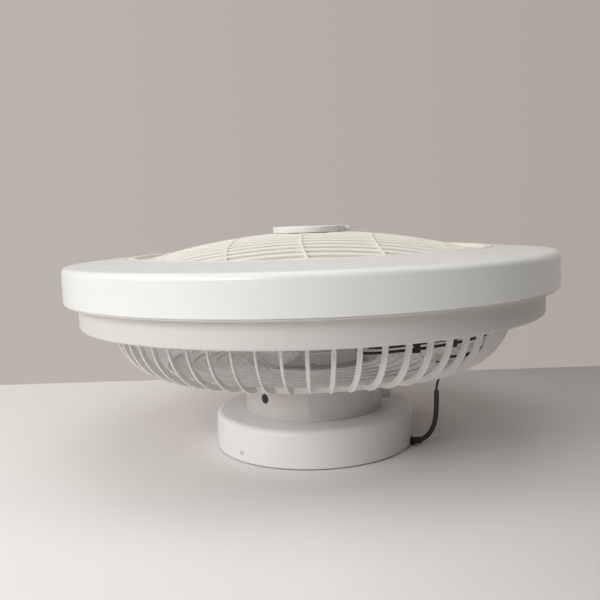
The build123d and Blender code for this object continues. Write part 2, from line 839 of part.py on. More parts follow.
# Lead clips: four small hooks between the ribs, hanging from the cage's top ring
rib_pitch = 360 / rib_count
clip_floor_z = lamp_lead_low_z - lamp_lead_r - inner_lead_play - clip_t
with BuildPart() as lead_clips:
    for gap in clip_gaps:
        clip_angle = rib_phase + (gap + 0.5) * rib_pitch
        with BuildSketch(turned(clip_angle, clip_floor_z)):
            with Locations((clip_back_r, 0)):
                Rectangle(clip_t, clip_w, align=(Align.MIN, Align.CENTER))
        extrude(amount=cage_top_z - cage_ring_t - clip_floor_z)
        with BuildSketch(turned(clip_angle, clip_floor_z)):
            with Locations((clip_back_r + clip_t / 2, 0)):
                Rectangle(clip_reach, clip_w, align=(Align.MAX, Align.CENTER))
        extrude(amount=clip_t)
lead_clips.part.label = "lead_clips"
export_step(lead_clips.part, "parts/lead_clips.step")

# Cage floor: a flat annular plate with a hoop round its edge, where the ribs start
hoop_out_r = cage_flat_r + cage_hoop_w / 3
with BuildPart() as cage_floor:
    with BuildSketch(Plane.XY.offset(cage_floor_z)):
        Circle(cage_flat_r)
        Circle(cage_bore_r, mode=Mode.SUBTRACT)
    extrude(amount=cage_plate_t)
    with BuildSketch(Plane.XY.offset(cage_floor_z)):
        Circle(hoop_out_r)
        Circle(hoop_out_r - cage_hoop_w, mode=Mode.SUBTRACT)
    extrude(amount=cage_hoop_h)
    with BuildSketch(Plane.XY.offset(cage_floor_z)):
        with PolarLocations(cage_screw_r_at, cage_screw_count, start_angle=cage_screw_angle):
            Circle(screw_r + screw_play)
        with Locations(spot(lead_in_r, lead_angle, 0)):
            Circle(cage_lead_hole_r)
    extrude(amount=cage_plate_t, mode=Mode.SUBTRACT)
cage_floor.part.label = "cage_floor"
export_step(cage_floor.part, "parts/cage_floor.step")

# Cage ring: the flat ring at the ribs' upper ends, which carries the lamp pan
with BuildPart() as cage_ring:
    with BuildSketch(Plane.XY.offset(cage_top_z)):
        Circle(cage_r)
        Circle(cage_ring_bore_r, mode=Mode.SUBTRACT)
        with PolarLocations(pan_screw_at, pan_screw_count):
            Circle(small_screw_r + screw_play, mode=Mode.SUBTRACT)
        with Locations(
            spot(lamp_lead_at, high_strand_end, 0), spot(lamp_lead_at, low_strand_end, 0)
        ):
            Circle(lamp_lead_r + seat_gap, mode=Mode.SUBTRACT)
    extrude(amount=-cage_ring_t)
cage_ring.part.label = "cage_ring"
export_step(cage_ring.part, "parts/cage_ring.step")

# One cage rib: a slanted flat bar that turns a quarter circle from the top ring to the hoop
rib_reach = (rib_depth * cos(radians(rib_lean)) + rib_t * sin(radians(rib_lean))) / 2
with BuildPart() as cage_rib:
    with BuildSketch(Plane.XY.offset(cage_top_z)):
        with Locations((cage_flat_r + cage_turn_r - rib_reach, 0)):
            Rectangle(rib_depth, rib_t, rotation=rib_lean)
    revolve(axis=Axis((cage_flat_r, 0, cage_top_z), (0, 1, 0)), revolution_arc=90)
    with BuildSketch(Plane.XY.offset(cage_floor_z)):
        Circle(hoop_out_r)
    extrude(amount=cage_turn_r, mode=Mode.SUBTRACT)
    with BuildSketch(Plane.XY.offset(cage_top_z)):
        Circle(cage_r)
    extrude(amount=-cage_ring_t, mode=Mode.SUBTRACT)

# Cage ribs: sixty bars whose ends meet the hoop and the top ring
with BuildPart() as cage_ribs:
    with PolarLocations(0, rib_count, start_angle=rib_phase):
        add(cage_rib.part)
cage_ribs.part.label = "cage_ribs"
export_step(cage_ribs.part, "parts/cage_ribs.step")

# Motor plate: a steel disc across the cage's bore
with BuildPart() as motor_plate:
    with BuildSketch(Plane.XY.offset(cage_inside_z)):
        Circle(motor_plate_r)
        Circle(motor_plate_bore_r, mode=Mode.SUBTRACT)
        with PolarLocations(cage_screw_r_at, cage_screw_count, start_angle=cage_screw_angle):
            Circle(screw_r + screw_play, mode=Mode.SUBTRACT)
        with PolarLocations(motor_screw_at, motor_screw_count, start_angle=motor_screw_angle):
            Circle(screw_r + screw_play, mode=Mode.SUBTRACT)
        with Locations(spot(motor_lead_at, driver_angle, 0)):
            Circle(inner_lead_r + 2 * inner_lead_play, mode=Mode.SUBTRACT)
    extrude(amount=motor_plate_t)
motor_plate.part.label = "motor_plate"
export_step(motor_plate.part, "parts/motor_plate.step")

# Cage screws: through the motor plate and the cage's floor into the neck
with BuildPart() as cage_screws:
    with BuildSketch(Plane.XY.offset(motor_plate_top)):
        with PolarLocations(cage_screw_r_at, cage_screw_count, start_angle=cage_screw_angle):
            Circle(screw_head_r)
    extrude(amount=screw_head_h)
    with BuildSketch(Plane.XY.offset(motor_plate_top)):
        with PolarLocations(cage_screw_r_at, cage_screw_count, start_angle=cage_screw_angle):
            Circle(screw_r)
    extrude(amount=-(motor_plate_t + cage_plate_t + neck_screw_len - 1))
cage_screws.part.label = "cage_screws"
export_step(cage_screws.part, "parts/cage_screws.step")

# Stator base: an aluminium disc with the tube that carries the bearings and the core
bearing_bore_r = bearing_r + press_gap
with BuildPart() as stator_base:
    with BuildSketch(meridian(0)):
        Polygon(
            (bearing_bore_r, motor_plate_top), (base_disc_r, motor_plate_top),
            (base_disc_r, base_top), (tube_r, base_top), (tube_r, tube_top),
            (bearing_bore_r, tube_top), (bearing_bore_r, upper_bearing_z),
            (tube_shoulder_r, upper_bearing_z), (tube_shoulder_r, lower_bearing_z + bearing_t),
            (bearing_bore_r, lower_bearing_z + bearing_t),
        )
    revolve(axis=Axis.Z)
    with BuildSketch(Plane.XY.offset(motor_plate_top)):
        with PolarLocations(motor_screw_at, motor_screw_count, start_angle=motor_screw_angle):
            Circle(screw_r + thread_play)
    extrude(amount=base_disc_t - 0.5, mode=Mode.SUBTRACT)
    with BuildSketch(Plane.XY.offset(motor_plate_top)):
        with Locations(spot(motor_lead_at, driver_angle, 0)):
            Circle(inner_lead_r + 2 * inner_lead_play)
    extrude(amount=base_disc_t, mode=Mode.SUBTRACT)
stator_base.part.label = "stator_base"
export_step(stator_base.part, "parts/stator_base.step")

# Motor screws: from the neck's side through the motor plate into the stator base
with BuildPart() as motor_screws:
    with BuildSketch(Plane.XY.offset(cage_inside_z)):
        with PolarLocations(motor_screw_at, motor_screw_count, start_angle=motor_screw_angle):
            Circle(screw_head_r)
    extrude(amount=-screw_head_h)
    with BuildSketch(Plane.XY.offset(cage_inside_z)):
        with PolarLocations(motor_screw_at, motor_screw_count, start_angle=motor_screw_angle):
            Circle(screw_r)
    extrude(amount=motor_plate_t + base_disc_t - 1)
motor_screws.part.label = "motor_screws"
export_step(motor_screws.part, "parts/motor_screws.step")

# Stator core: a stack of steel laminations with wound teeth and pole shoes
with BuildPart() as stator_core:
    with BuildSketch(Plane.XY.offset(core_z)):
        Circle(core_r)
        Circle(tooth_end_r, mode=Mode.SUBTRACT)
        with PolarLocations(core_r, tooth_count, start_angle=180 / tooth_count):
            Rectangle(4 * (core_r - tooth_end_r), tooth_gap, mode=Mode.SUBTRACT)
        Circle(yoke_r)
        with PolarLocations((yoke_r + tooth_end_r) / 2, tooth_count):
            Rectangle(tooth_end_r - yoke_r + 2, tooth_w)
        Circle(tube_r + press_gap, mode=Mode.SUBTRACT)
    extrude(amount=core_h)
stator_core.part.label = "stator_core"
export_step(stator_core.part, "parts/stator_core.step")

# Windings: one coil round each tooth
with BuildPart() as windings:
    with PolarLocations(coil_inner_r, tooth_count):
        with Locations((coil_len / 2, 0, core_z + core_h / 2)):
            Box(coil_len, tooth_w + 2 * coil_t, core_h + 2 * coil_t)
            Box(coil_len, tooth_w + 2 * face_gap, core_h + 2 * face_gap, mode=Mode.SUBTRACT)
windings.part.label = "windings"
export_step(windings.part, "parts/windings.step")


def bearing_ring(floor_z):
    """A shielded ball bearing, as one ring with a shallow recess in each face."""
    inner_r = shaft_r + running_gap
    with BuildPart() as bearing:
        with BuildSketch(meridian(0)):
            Polygon(
                (inner_r, floor_z), (inner_r + race_w, floor_z),
                (inner_r + race_w, floor_z + shield_depth),
                (bearing_r - race_w, floor_z + shield_depth), (bearing_r - race_w, floor_z),
                (bearing_r, floor_z), (bearing_r, floor_z + bearing_t),
                (bearing_r - race_w, floor_z + bearing_t),
                (bearing_r - race_w, floor_z + bearing_t - shield_depth),
                (inner_r + race_w, floor_z + bearing_t - shield_depth),
                (inner_r + race_w, floor_z + bearing_t), (inner_r, floor_z + bearing_t),
            )
        revolve(axis=Axis.Z)
    return bearing.part


# Lower bearing, at the ceiling end of the tube
with BuildPart() as bearing_lower:
    add(bearing_ring(lower_bearing_z))
bearing_lower.part.label = "bearing_lower"
export_step(bearing_lower.part, "parts/bearing_lower.step")

# Upper bearing, on the tube's inner shoulder
with BuildPart() as bearing_upper:
    add(bearing_ring(upper_bearing_z))
bearing_upper.part.label = "bearing_upper"
export_step(bearing_upper.part, "parts/bearing_upper.step")

# Shaft: fixed in the rotor shell, grooved for its clip and drilled across for the drive pin
clip_z = lower_bearing_z - 2 * running_gap - clip_t
with BuildPart() as shaft:
    with BuildSketch(Plane.XY.offset(shaft_bottom)):
        Circle(shaft_r)
    extrude(amount=shaft_top - shaft_bottom)
    chamfer(shaft.edges().group_by(Axis.Z)[0] + shaft.edges().group_by(Axis.Z)[-1], length=0.5)
    with BuildSketch(Plane.XY.offset(clip_z - face_gap)):
        Circle(shaft_r)
        Circle(clip_groove_r, mode=Mode.SUBTRACT)
    extrude(amount=clip_t + 2 * face_gap, mode=Mode.SUBTRACT)
    with BuildSketch(Plane.YZ):
        with Locations((0, pin_z)):
            Circle(pin_r + press_gap)
    extrude(amount=shaft_r, both=True, mode=Mode.SUBTRACT)
shaft.part.label = "shaft"
export_step(shaft.part, "parts/shaft.step")

# Shaft clip: an open ring in the shaft's groove
with BuildPart() as shaft_clip:
    with BuildSketch(Plane.XY.offset(clip_z)):
        Circle(clip_r)
        Circle(clip_groove_r + face_gap, mode=Mode.SUBTRACT)
        with Locations((clip_r / 2 + clip_groove_r / 2, 0)):
            Rectangle(clip_r, clip_groove_r, mode=Mode.SUBTRACT)
    extrude(amount=clip_t)
shaft_clip.part.label = "shaft_clip"
export_step(shaft_clip.part, "parts/shaft_clip.step")

# Rotor shell: a drawn steel bell round the core, pressed on the shaft
rotor_in_r = core_r + magnet_gap + magnet_t
rotor_out_r = rotor_in_r + rotor_wall
with BuildPart() as rotor_shell:
    with BuildSketch(meridian(0)):
        Polygon(
            (rotor_in_r, rotor_skirt_z), (rotor_out_r, rotor_skirt_z),
            (rotor_out_r, rotor_top), (shaft_r + press_gap, rotor_top),
            (shaft_r + press_gap, rotor_boss_z), (rotor_boss_r, rotor_boss_z),
            (rotor_boss_r, rotor_top - rotor_wall), (rotor_in_r, rotor_top - rotor_wall),
        )
    revolve(axis=Axis.Z)
rotor_shell.part.label = "rotor_shell"
export_step(rotor_shell.part, "parts/rotor_shell.step")

# Magnet ring: glued inside the rotor shell
with BuildPart() as magnet_ring:
    with BuildSketch(Plane.XY.offset(rotor_skirt_z + 1)):
        Circle(rotor_in_r - press_gap)
        Circle(rotor_in_r - magnet_t, mode=Mode.SUBTRACT)
    extrude(amount=magnet_h)
magnet_ring.part.label = "magnet_ring"
export_step(magnet_ring.part, "parts/magnet_ring.step")

# Drive pin: a cross pin that turns the impeller
with BuildPart() as drive_pin:
    with BuildSketch(Plane.YZ):
        with Locations((0, pin_z)):
            Circle(pin_r)
    extrude(amount=pin_len / 2, both=True)
drive_pin.part.label = "drive_pin"
export_step(drive_pin.part, "parts/drive_pin.step")


def blade_section(distance, chord, pitch, camber, sweep):
    """A cambered blade section at a distance from the axis, leading edge low and forward."""
    run = chord / 2 * cos(radians(pitch))
    rise = chord / 2 * sin(radians(pitch))
    lean_y = camber * sin(radians(pitch))
    lean_z = camber * cos(radians(pitch))
    half = blade_t / 2
    section_plane = Plane(origin=(distance, 0, 0), x_dir=(0, 1, 0), z_dir=(1, 0, 0))
    with BuildSketch(section_plane) as section:
        with BuildLine():
            ThreePointArc(
                (sweep + run, blade_mid_z - rise + half),
                (sweep + lean_y, blade_mid_z + lean_z + half),
                (sweep - run, blade_mid_z + rise + half),
            )
            Line((sweep - run, blade_mid_z + rise + half), (sweep - run, blade_mid_z + rise - half))
            ThreePointArc(
                (sweep - run, blade_mid_z + rise - half),
                (sweep + lean_y, blade_mid_z + lean_z - half),
                (sweep + run, blade_mid_z - rise - half),
            )
            Line((sweep + run, blade_mid_z - rise - half), (sweep + run, blade_mid_z - rise + half))
        make_face()
    return section.sketch


# One impeller blade: lofted through three sections and cut round at the hub and the tip
with BuildPart() as blade:
    loft([
        blade_section(blade_root_plane, *blade_root),
        blade_section(blade_mid_plane, *blade_mid),
        blade_section(blade_tip_r + blade_tip_over, *blade_tip),
    ])
    with BuildSketch(Plane.XY.offset(hub_bottom)):
        Circle(blade_tip_r)
        Circle(hub_r - hub_wall / 2, mode=Mode.SUBTRACT)
    extrude(amount=hub_top - hub_bottom, mode=Mode.INTERSECT)

# Impeller: a clear moulding with its hub cup over the rotor shell
with BuildPart() as impeller:
    with BuildSketch(meridian(0)):
        Polygon(
            (hub_r - hub_wall, hub_bottom), (hub_r, hub_bottom), (hub_r, hub_top),
            (shaft_r + face_gap, hub_top), (shaft_r + face_gap, rotor_top),
            (hub_boss_r, rotor_top), (hub_boss_r, hub_top - hub_wall),
            (hub_r - hub_wall, hub_top - hub_wall),
        )
    revolve(axis=Axis.Z)
    with BuildSketch(Plane.XY.offset(rotor_top)):
        Rectangle(pin_len + seat_gap, 2 * pin_r + seat_gap)
    extrude(amount=pin_z + pin_r + face_gap - rotor_top, mode=Mode.SUBTRACT)
    with PolarLocations(0, blade_count, start_angle=blade_phase):
        add(blade.part)
impeller.part.label = "impeller"
export_step(impeller.part, "parts/impeller.step")

# Spinner nut: a moulded cap nut with finger flutes on the end of the shaft
with BuildPart() as spinner_nut:
    with BuildSketch(Plane.XY.offset(hub_top)):
        Circle(nut_r)
    extrude(amount=nut_h)
    fillet(spinner_nut.edges().group_by(Axis.Z)[-1], radius=nut_edge_r)
    with BuildSketch(Plane.XY.offset(hub_top + nut_flute_floor)):
        with PolarLocations(nut_r + nut_flute_r / 2, nut_flute_count):
            Circle(nut_flute_r)
    extrude(amount=nut_h, mode=Mode.SUBTRACT)
    with BuildSketch(Plane.XY.offset(hub_top)):
        Circle(shaft_r + face_gap)
    extrude(amount=shaft_top + seat_gap - hub_top, mode=Mode.SUBTRACT)
spinner_nut.part.label = "spinner_nut"
export_step(spinner_nut.part, "parts/spinner_nut.step")

# Lamp pan: the tray of the ring lamp with the air duct's wall, in one moulding
with BuildPart() as lamp_pan:
    with BuildSketch(meridian(0)) as pan_profile:
        Polygon(
            (duct_r, cage_top_z), (pan_r, cage_top_z), (pan_r, pan_rim_z),
            (pan_rim_r, pan_rim_z), (pan_rim_r, pan_rim_z + pan_rim_t),
            (pan_r - pan_wall, pan_rim_z + pan_rim_t), (pan_r - pan_wall, pan_floor_top),
            (duct_r + duct_wall, pan_floor_top),
            (duct_r + duct_wall, duct_top - duct_flange_t),
            (duct_flange_r, duct_top - duct_flange_t), (duct_flange_r, duct_top),
            (duct_r, duct_top),
        )
        fillet(
            pan_profile.vertices().sort_by_distance((pan_r, cage_top_z, 0))[0],
            radius=pan_edge_r,
        )
    revolve(axis=Axis.Z)
    with BuildSketch(Plane.XY.offset(seat_bottom)):
        with PolarLocations(duct_r + face_gap, seat_boss_count):
            Rectangle(
                seat_boss_d, seat_boss_w, align=(Align.MAX, Align.CENTER)
            )
    extrude(amount=-seat_boss_h)
    with BuildSketch(Plane.XY.offset(pan_floor_top)):
        with PolarLocations(pan_screw_at, pan_screw_count):
            Circle(pan_boss_r)
    extrude(amount=pan_boss_h)
    with BuildSketch(Plane.XY.offset(seat_bottom)):
        with PolarLocations(seat_screw_at, seat_boss_count):
            Circle(seat_screw_r + thread_play)
    extrude(amount=-seat_screw_len, mode=Mode.SUBTRACT)
    with BuildSketch(Plane.XY.offset(cage_top_z)):
        with PolarLocations(pan_screw_at, pan_screw_count):
            Circle(small_screw_r + thread_play)
    extrude(amount=pan_floor_t + pan_boss_h - 1, mode=Mode.SUBTRACT)
    with BuildSketch(Plane.XY.offset(cage_top_z)):
        with Locations(
            spot(lamp_lead_at, high_strand_end, 0), spot(lamp_lead_at, low_strand_end, 0)
        ):
            Circle(lamp_lead_r + seat_gap)
        with PolarLocations(led_screw_at, led_screw_count, start_angle=led_screw_angle):
            Circle(led_screw_r + thread_play)
    extrude(amount=pan_floor_t, mode=Mode.SUBTRACT)
lamp_pan.part.label = "lamp_pan"
export_step(lamp_pan.part, "parts/lamp_pan.step")

# Pan screws: from below through the cage's top ring into the lamp pan
with BuildPart() as pan_screws:
    with BuildSketch(Plane.XY.offset(cage_top_z - cage_ring_t)):
        with PolarLocations(pan_screw_at, pan_screw_count):
            Circle(small_head_r)
    extrude(amount=-small_head_h)
    with BuildSketch(Plane.XY.offset(cage_top_z - cage_ring_t)):
        with PolarLocations(pan_screw_at, pan_screw_count):
            Circle(small_screw_r)
    extrude(amount=cage_ring_t + pan_floor_t + pan_boss_h - 1.5)
pan_screws.part.label = "pan_screws"
export_step(pan_screws.part, "parts/pan_screws.step")

# LED board: a flat ring on the floor of the pan
board_face_z = pan_floor_top + board_t
with BuildPart() as led_board:
    with BuildSketch(Plane.XY.offset(pan_floor_top)):
        Circle(led_board_out_r)
        Circle(led_board_in_r, mode=Mode.SUBTRACT)
        with PolarLocations(led_screw_at, led_screw_count, start_angle=led_screw_angle):
            Circle(led_screw_r + screw_play, mode=Mode.SUBTRACT)
    extrude(amount=board_t)
led_board.part.label = "led_board"
export_step(led_board.part, "parts/led_board.step")

# LED chips
with BuildPart() as led_chips:
    with BuildSketch(Plane.XY.offset(board_face_z)):
        with PolarLocations(led_ring_r, led_count):
            Rectangle(led_size, led_size)
    extrude(amount=led_h)
led_chips.part.label = "led_chips"
export_step(led_chips.part, "parts/led_chips.step")

# LED board screws
with BuildPart() as led_screws:
    with BuildSketch(Plane.XY.offset(board_face_z)):
        with PolarLocations(led_screw_at, led_screw_count, start_angle=led_screw_angle):
            Circle(led_head_r)
    extrude(amount=led_head_h)
    with BuildSketch(Plane.XY.offset(board_face_z)):
        with PolarLocations(led_screw_at, led_screw_count, start_angle=led_screw_angle):
            Circle(led_screw_r)
    extrude(amount=-(board_t + pan_floor_t - 0.2))
led_screws.part.label = "led_screws"
export_step(led_screws.part, "parts/led_screws.step")

# Lamp terminal: a push-in block on the pan's floor, over the two strands' holes
lamp_terminal_angle = (high_strand_end + low_strand_end) / 2
lamp_terminal_face_r = sqrt(led_board_in_r**2 - (lamp_terminal_w / 2) ** 2) - face_gap
with BuildPart() as lamp_terminal:
    with BuildSketch(turned(lamp_terminal_angle, pan_floor_top)):
        with Locations((lamp_terminal_face_r, 0)):
            Rectangle(
                lamp_terminal_d, lamp_terminal_w, align=(Align.MAX, Align.CENTER)
            )
    extrude(amount=pan_boss_h)
    with BuildSketch(Plane.XY.offset(pan_floor_top)):
        with Locations(
            spot(lamp_lead_at, high_strand_end, 0), spot(lamp_lead_at, low_strand_end, 0)
        ):
            Circle(lamp_lead_r + face_gap)
    extrude(amount=lamp_lead_top - pan_floor_top, mode=Mode.SUBTRACT)
lamp_terminal.part.label = "lamp_terminal"
export_step(lamp_terminal.part, "parts/lamp_terminal.step")

# Diffuser: the opal ring, with a straight wall, a rounded corner and a gently sloping top
fall = tan(radians(diffuser_slope))
corner_z = diffuser_top - (diffuser_r - diffuser_bore_r) * fall
inner_fall = diffuser_wall / cos(radians(diffuser_slope))
diffuser_in_r = diffuser_r - diffuser_wall
diffuser_floor_z = pan_rim_z + pan_rim_t
with BuildPart() as diffuser:
    with BuildSketch(meridian(0)) as diffuser_profile:
        Polygon(
            (diffuser_r, diffuser_floor_z), (diffuser_r, corner_z),
            (diffuser_bore_r, diffuser_top), (diffuser_bore_r, duct_top),
            (diffuser_bore_r + diffuser_wall, duct_top),
            (diffuser_bore_r + diffuser_wall, diffuser_top - diffuser_wall * fall - inner_fall),
            (diffuser_in_r, corner_z + diffuser_wall * fall - inner_fall),
            (diffuser_in_r, diffuser_floor_z + diffuser_foot_t),
            (diffuser_r - diffuser_foot, diffuser_floor_z + diffuser_foot_t),
            (diffuser_r - diffuser_foot, diffuser_floor_z),
        )
        fillet(
            diffuser_profile.vertices().sort_by_distance((diffuser_r, corner_z, 0))[0],
            radius=diffuser_corner_r,
        )
        fillet(
            diffuser_profile.vertices().sort_by_distance(
                (diffuser_in_r, corner_z + diffuser_wall * fall - inner_fall, 0)
            )[0],
            radius=diffuser_corner_r - diffuser_wall,
        )
    revolve(axis=Axis.Z)
diffuser.part.label = "diffuser"
export_step(diffuser.part, "parts/diffuser.step")

# Seat ring: holds the grille by three bayonet slots
lug_half = degrees(asin((lug_w / 2 + lug_side_gap) / lug_in_r))
slot_low_r = lug_in_r - lug_side_gap
seat_out_r = duct_r - seat_gap
with BuildPart() as seat_ring:
    with BuildSketch(Plane.XY.offset(seat_bottom)):
        Circle(seat_out_r)
        Circle(seat_in_r, mode=Mode.SUBTRACT)
    extrude(amount=seat_t)
    for lug in range(lug_count):
        lug_at = lug_angle + lug * 360 / lug_count
        with BuildSketch(meridian(lug_at - lug_half)):
            with Locations((slot_low_r, seat_bottom)):
                Rectangle(
                    lug_stem + 2 * lug_side_gap, seat_t, align=(Align.MIN, Align.MIN)
                )
        revolve(axis=Axis.Z, revolution_arc=lug_twist + 2 * lug_half, mode=Mode.SUBTRACT)
        with BuildSketch(meridian(lug_at + lug_twist - lug_half)):
            with Locations((slot_low_r, seat_bottom)):
                Rectangle(
                    lug_foot_out_r + lug_side_gap - slot_low_r, seat_t,
                    align=(Align.MIN, Align.MIN),
                )
        revolve(axis=Axis.Z, revolution_arc=2 * lug_half, mode=Mode.SUBTRACT)
    with Locations(Plane.XY.offset(seat_top)):
        with PolarLocations(seat_screw_at, seat_boss_count):
            CounterSinkHole(
                radius=seat_screw_r + screw_play, counter_sink_radius=seat_head_r + face_gap,
                counter_sink_angle=90,
            )
seat_ring.part.label = "seat_ring"
export_step(seat_ring.part, "parts/seat_ring.step")

# Seat screws: flat heads flush with the seat ring
with BuildPart() as seat_screws:
    with Locations(Plane.XY.offset(seat_top - seat_head_r)):
        with PolarLocations(seat_screw_at, seat_boss_count):
            Cone(0, seat_head_r, seat_head_r, align=(Align.CENTER, Align.CENTER, Align.MIN))
    with BuildSketch(Plane.XY.offset(seat_top - face_gap)):
        with PolarLocations(seat_screw_at, seat_boss_count):
            Circle(seat_screw_r)
    extrude(amount=-(seat_t + seat_screw_len - 0.5))
seat_screws.part.label = "seat_screws"
export_step(seat_screws.part, "parts/seat_screws.step")


def dome_height(radius, sphere):
    """Height at a radius on a sphere about the dome's centre."""
    return dome_top - dome_radius + sqrt(sphere**2 - radius**2)


# Grille: straight slats and bowed braces in a shallow dome, inside a stepped lip
dome_inner = dome_radius - dome_t
slat_reach = int(slot_edge_r / slat_pitch)
brace_reach = int(slot_edge_r / brace_pitch)
with BuildSketch() as grille_gaps:
    Circle(slot_edge_r)
    for slat in range(-slat_reach, slat_reach + 1):
        with Locations((0, slat * slat_pitch)):
            Rectangle(2 * slot_edge_r, slat_w, mode=Mode.SUBTRACT)
    for brace in range(-brace_reach, brace_reach + 1):
        brace_x = brace * brace_pitch
        with BuildLine():
            ThreePointArc(
                (brace_x, 0), (brace_x - brace_bow, -brace_half / 2), (brace_x, -brace_half)
            )
            ThreePointArc(
                (brace_x, 0), (brace_x + brace_bow, brace_half / 2), (brace_x, brace_half)
            )
        trace(line_width=brace_w, mode=Mode.SUBTRACT)
    Circle(cap_r + face_gap, mode=Mode.SUBTRACT)
with BuildPart() as grille:
    with BuildSketch(meridian(0)):
        with BuildLine():
            Line((0, dome_height(0, dome_inner)), (0, dome_top))
            ThreePointArc(
                (0, dome_top), (dome_edge_r / 2, dome_height(dome_edge_r / 2, dome_radius)),
                (dome_edge_r, dome_height(dome_edge_r, dome_radius)),
            )
            Line(
                (dome_edge_r, dome_height(dome_edge_r, dome_radius)),
                (dome_edge_r, dome_height(dome_edge_r, dome_inner)),
            )
            ThreePointArc(
                (dome_edge_r, dome_height(dome_edge_r, dome_inner)),
                (dome_edge_r / 2, dome_height(dome_edge_r / 2, dome_inner)),
                (0, dome_height(0, dome_inner)),
            )
        make_face()
    revolve(axis=Axis.Z)
    with BuildSketch(Plane.XY.offset(seat_bottom)):
        add(grille_gaps.sketch)
    extrude(amount=dome_top - seat_bottom + 1, mode=Mode.SUBTRACT)
    with BuildSketch(meridian(0)):
        Polygon(
            (dome_edge_r - dome_t, seat_top + seat_gap), (grille_step_r, seat_top + seat_gap),
            (grille_step_r, grille_under_z), (grille_r, grille_under_z),
            (grille_r, grille_top), (grille_lip_in_r, grille_top),
            (grille_lip_in_r, seat_top + seat_gap + grille_floor_t),
            (dome_foot_r, seat_top + seat_gap + grille_floor_t),
            (dome_edge_r, dome_height(dome_edge_r, dome_radius)),
            (dome_edge_r - dome_t, seat_top + seat_gap + grille_floor_t),
        )
    revolve(axis=Axis.Z)
    with BuildSketch(Plane.XY.offset(seat_top + seat_gap)):
        with PolarLocations(lug_in_r, lug_count, start_angle=lug_angle):
            Rectangle(lug_stem, lug_w, align=(Align.MIN, Align.CENTER))
    extrude(amount=-(seat_t + 2 * seat_gap))
    with BuildSketch(Plane.XY.offset(seat_bottom - seat_gap)):
        with PolarLocations(lug_in_r, lug_count, start_angle=lug_angle):
            Rectangle(lug_foot_out_r - lug_in_r, lug_w, align=(Align.MIN, Align.CENTER))
    extrude(amount=-lug_foot_t)
    with BuildSketch(Plane.XY.offset(cap_seat_z)):
        Circle(cap_r + 2 * face_gap)
    extrude(amount=dome_top - cap_seat_z + 1, mode=Mode.SUBTRACT)
    with BuildSketch(Plane.XY.offset(cap_seat_z)):
        with PolarLocations(cap_leg_at, cap_leg_count, start_angle=cap_leg_angle):
            Circle(cap_leg_r + cap_leg_play)
    extrude(amount=-3 * dome_t, mode=Mode.SUBTRACT)
grille.part.label = "grille"
export_step(grille.part, "parts/grille.step")

# Centre cap: a shallow lid with a small side tab and three legs through the grille
with BuildPart() as centre_cap:
    with BuildSketch(Plane.XY.offset(cap_seat_z)):
        Circle(cap_r)
    extrude(amount=cap_top - cap_seat_z)
    fillet(centre_cap.edges().group_by(Axis.Z)[-1], radius=cap_edge_r)
    with BuildSketch(Plane.XY.offset(cap_seat_z + cap_tab_lift)):
        with Locations((cap_r - cap_wall / 2, 0)):
            Rectangle(cap_tab_reach + cap_wall / 2, cap_tab_w, align=(Align.MIN, Align.CENTER))
    extrude(amount=cap_top - cap_edge_r - cap_seat_z - cap_tab_lift)
    with BuildSketch(Plane.XY.offset(cap_seat_z)):
        Circle(cap_r - cap_wall)
    extrude(amount=cap_top - cap_wall - cap_seat_z, mode=Mode.SUBTRACT)
    with BuildSketch(Plane.XY.offset(cap_top - cap_wall)):
        with PolarLocations(cap_leg_at, cap_leg_count, start_angle=cap_leg_angle):
            Circle(cap_leg_r)
    extrude(amount=-cap_leg_len)
centre_cap.part.label = "centre_cap"
export_step(centre_cap.part, "parts/centre_cap.step")
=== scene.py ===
"""Dressed view of a low-profile caged ceiling fan with a ring lamp, lying on its ceiling canopy.

Sizes are in millimetres in each class and become metres when a mesh is made. The fan's axis is +Z
from the ceiling face at z = 0, and angles are degrees about +Z from +X.
"""

import logging
import math
from dataclasses import dataclass, field
from enum import Enum

import bmesh
import bpy
import numpy as np
from mathutils import Matrix, Vector


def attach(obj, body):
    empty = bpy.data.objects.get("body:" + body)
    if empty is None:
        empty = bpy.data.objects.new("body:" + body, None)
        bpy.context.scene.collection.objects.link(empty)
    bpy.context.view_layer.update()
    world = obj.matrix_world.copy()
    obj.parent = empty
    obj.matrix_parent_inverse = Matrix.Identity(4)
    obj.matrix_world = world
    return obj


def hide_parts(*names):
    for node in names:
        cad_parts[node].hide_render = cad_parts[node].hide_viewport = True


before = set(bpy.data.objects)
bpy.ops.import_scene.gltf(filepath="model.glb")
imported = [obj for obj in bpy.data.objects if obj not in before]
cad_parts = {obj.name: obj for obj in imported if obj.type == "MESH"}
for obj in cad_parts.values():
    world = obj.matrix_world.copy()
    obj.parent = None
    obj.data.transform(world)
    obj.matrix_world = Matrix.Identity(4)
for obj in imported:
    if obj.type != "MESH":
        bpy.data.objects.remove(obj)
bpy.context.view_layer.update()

MM = 0.001
Triple = tuple[float, float, float]
log = logging.getLogger("ceiling_fan")


def linear(code: str) -> tuple[float, float, float, float]:
    """Turn an sRGB hex colour into linear light.

    Args:
        code: six hex digits, such as "F2F0EC".

    Returns:
        Red, green and blue in linear light, and an alpha of 1.
    """
    srgb = np.array([int(code[i:i + 2], 16) for i in (0, 2, 4)]) / 255
    light = np.where(srgb <= 0.04045, srgb / 12.92, ((srgb + 0.055) / 1.055) ** 2.4)
    return (float(light[0]), float(light[1]), float(light[2]), 1.0)


def spot(radius: float, angle: float, height: float, side: float = 0.0) -> Triple:
    """A point from its radius along an angle, its height and its sideways distance."""
    a = math.radians(angle)
    return (
        radius * math.cos(a) - side * math.sin(a),
        radius * math.sin(a) + side * math.cos(a),
        height,
    )


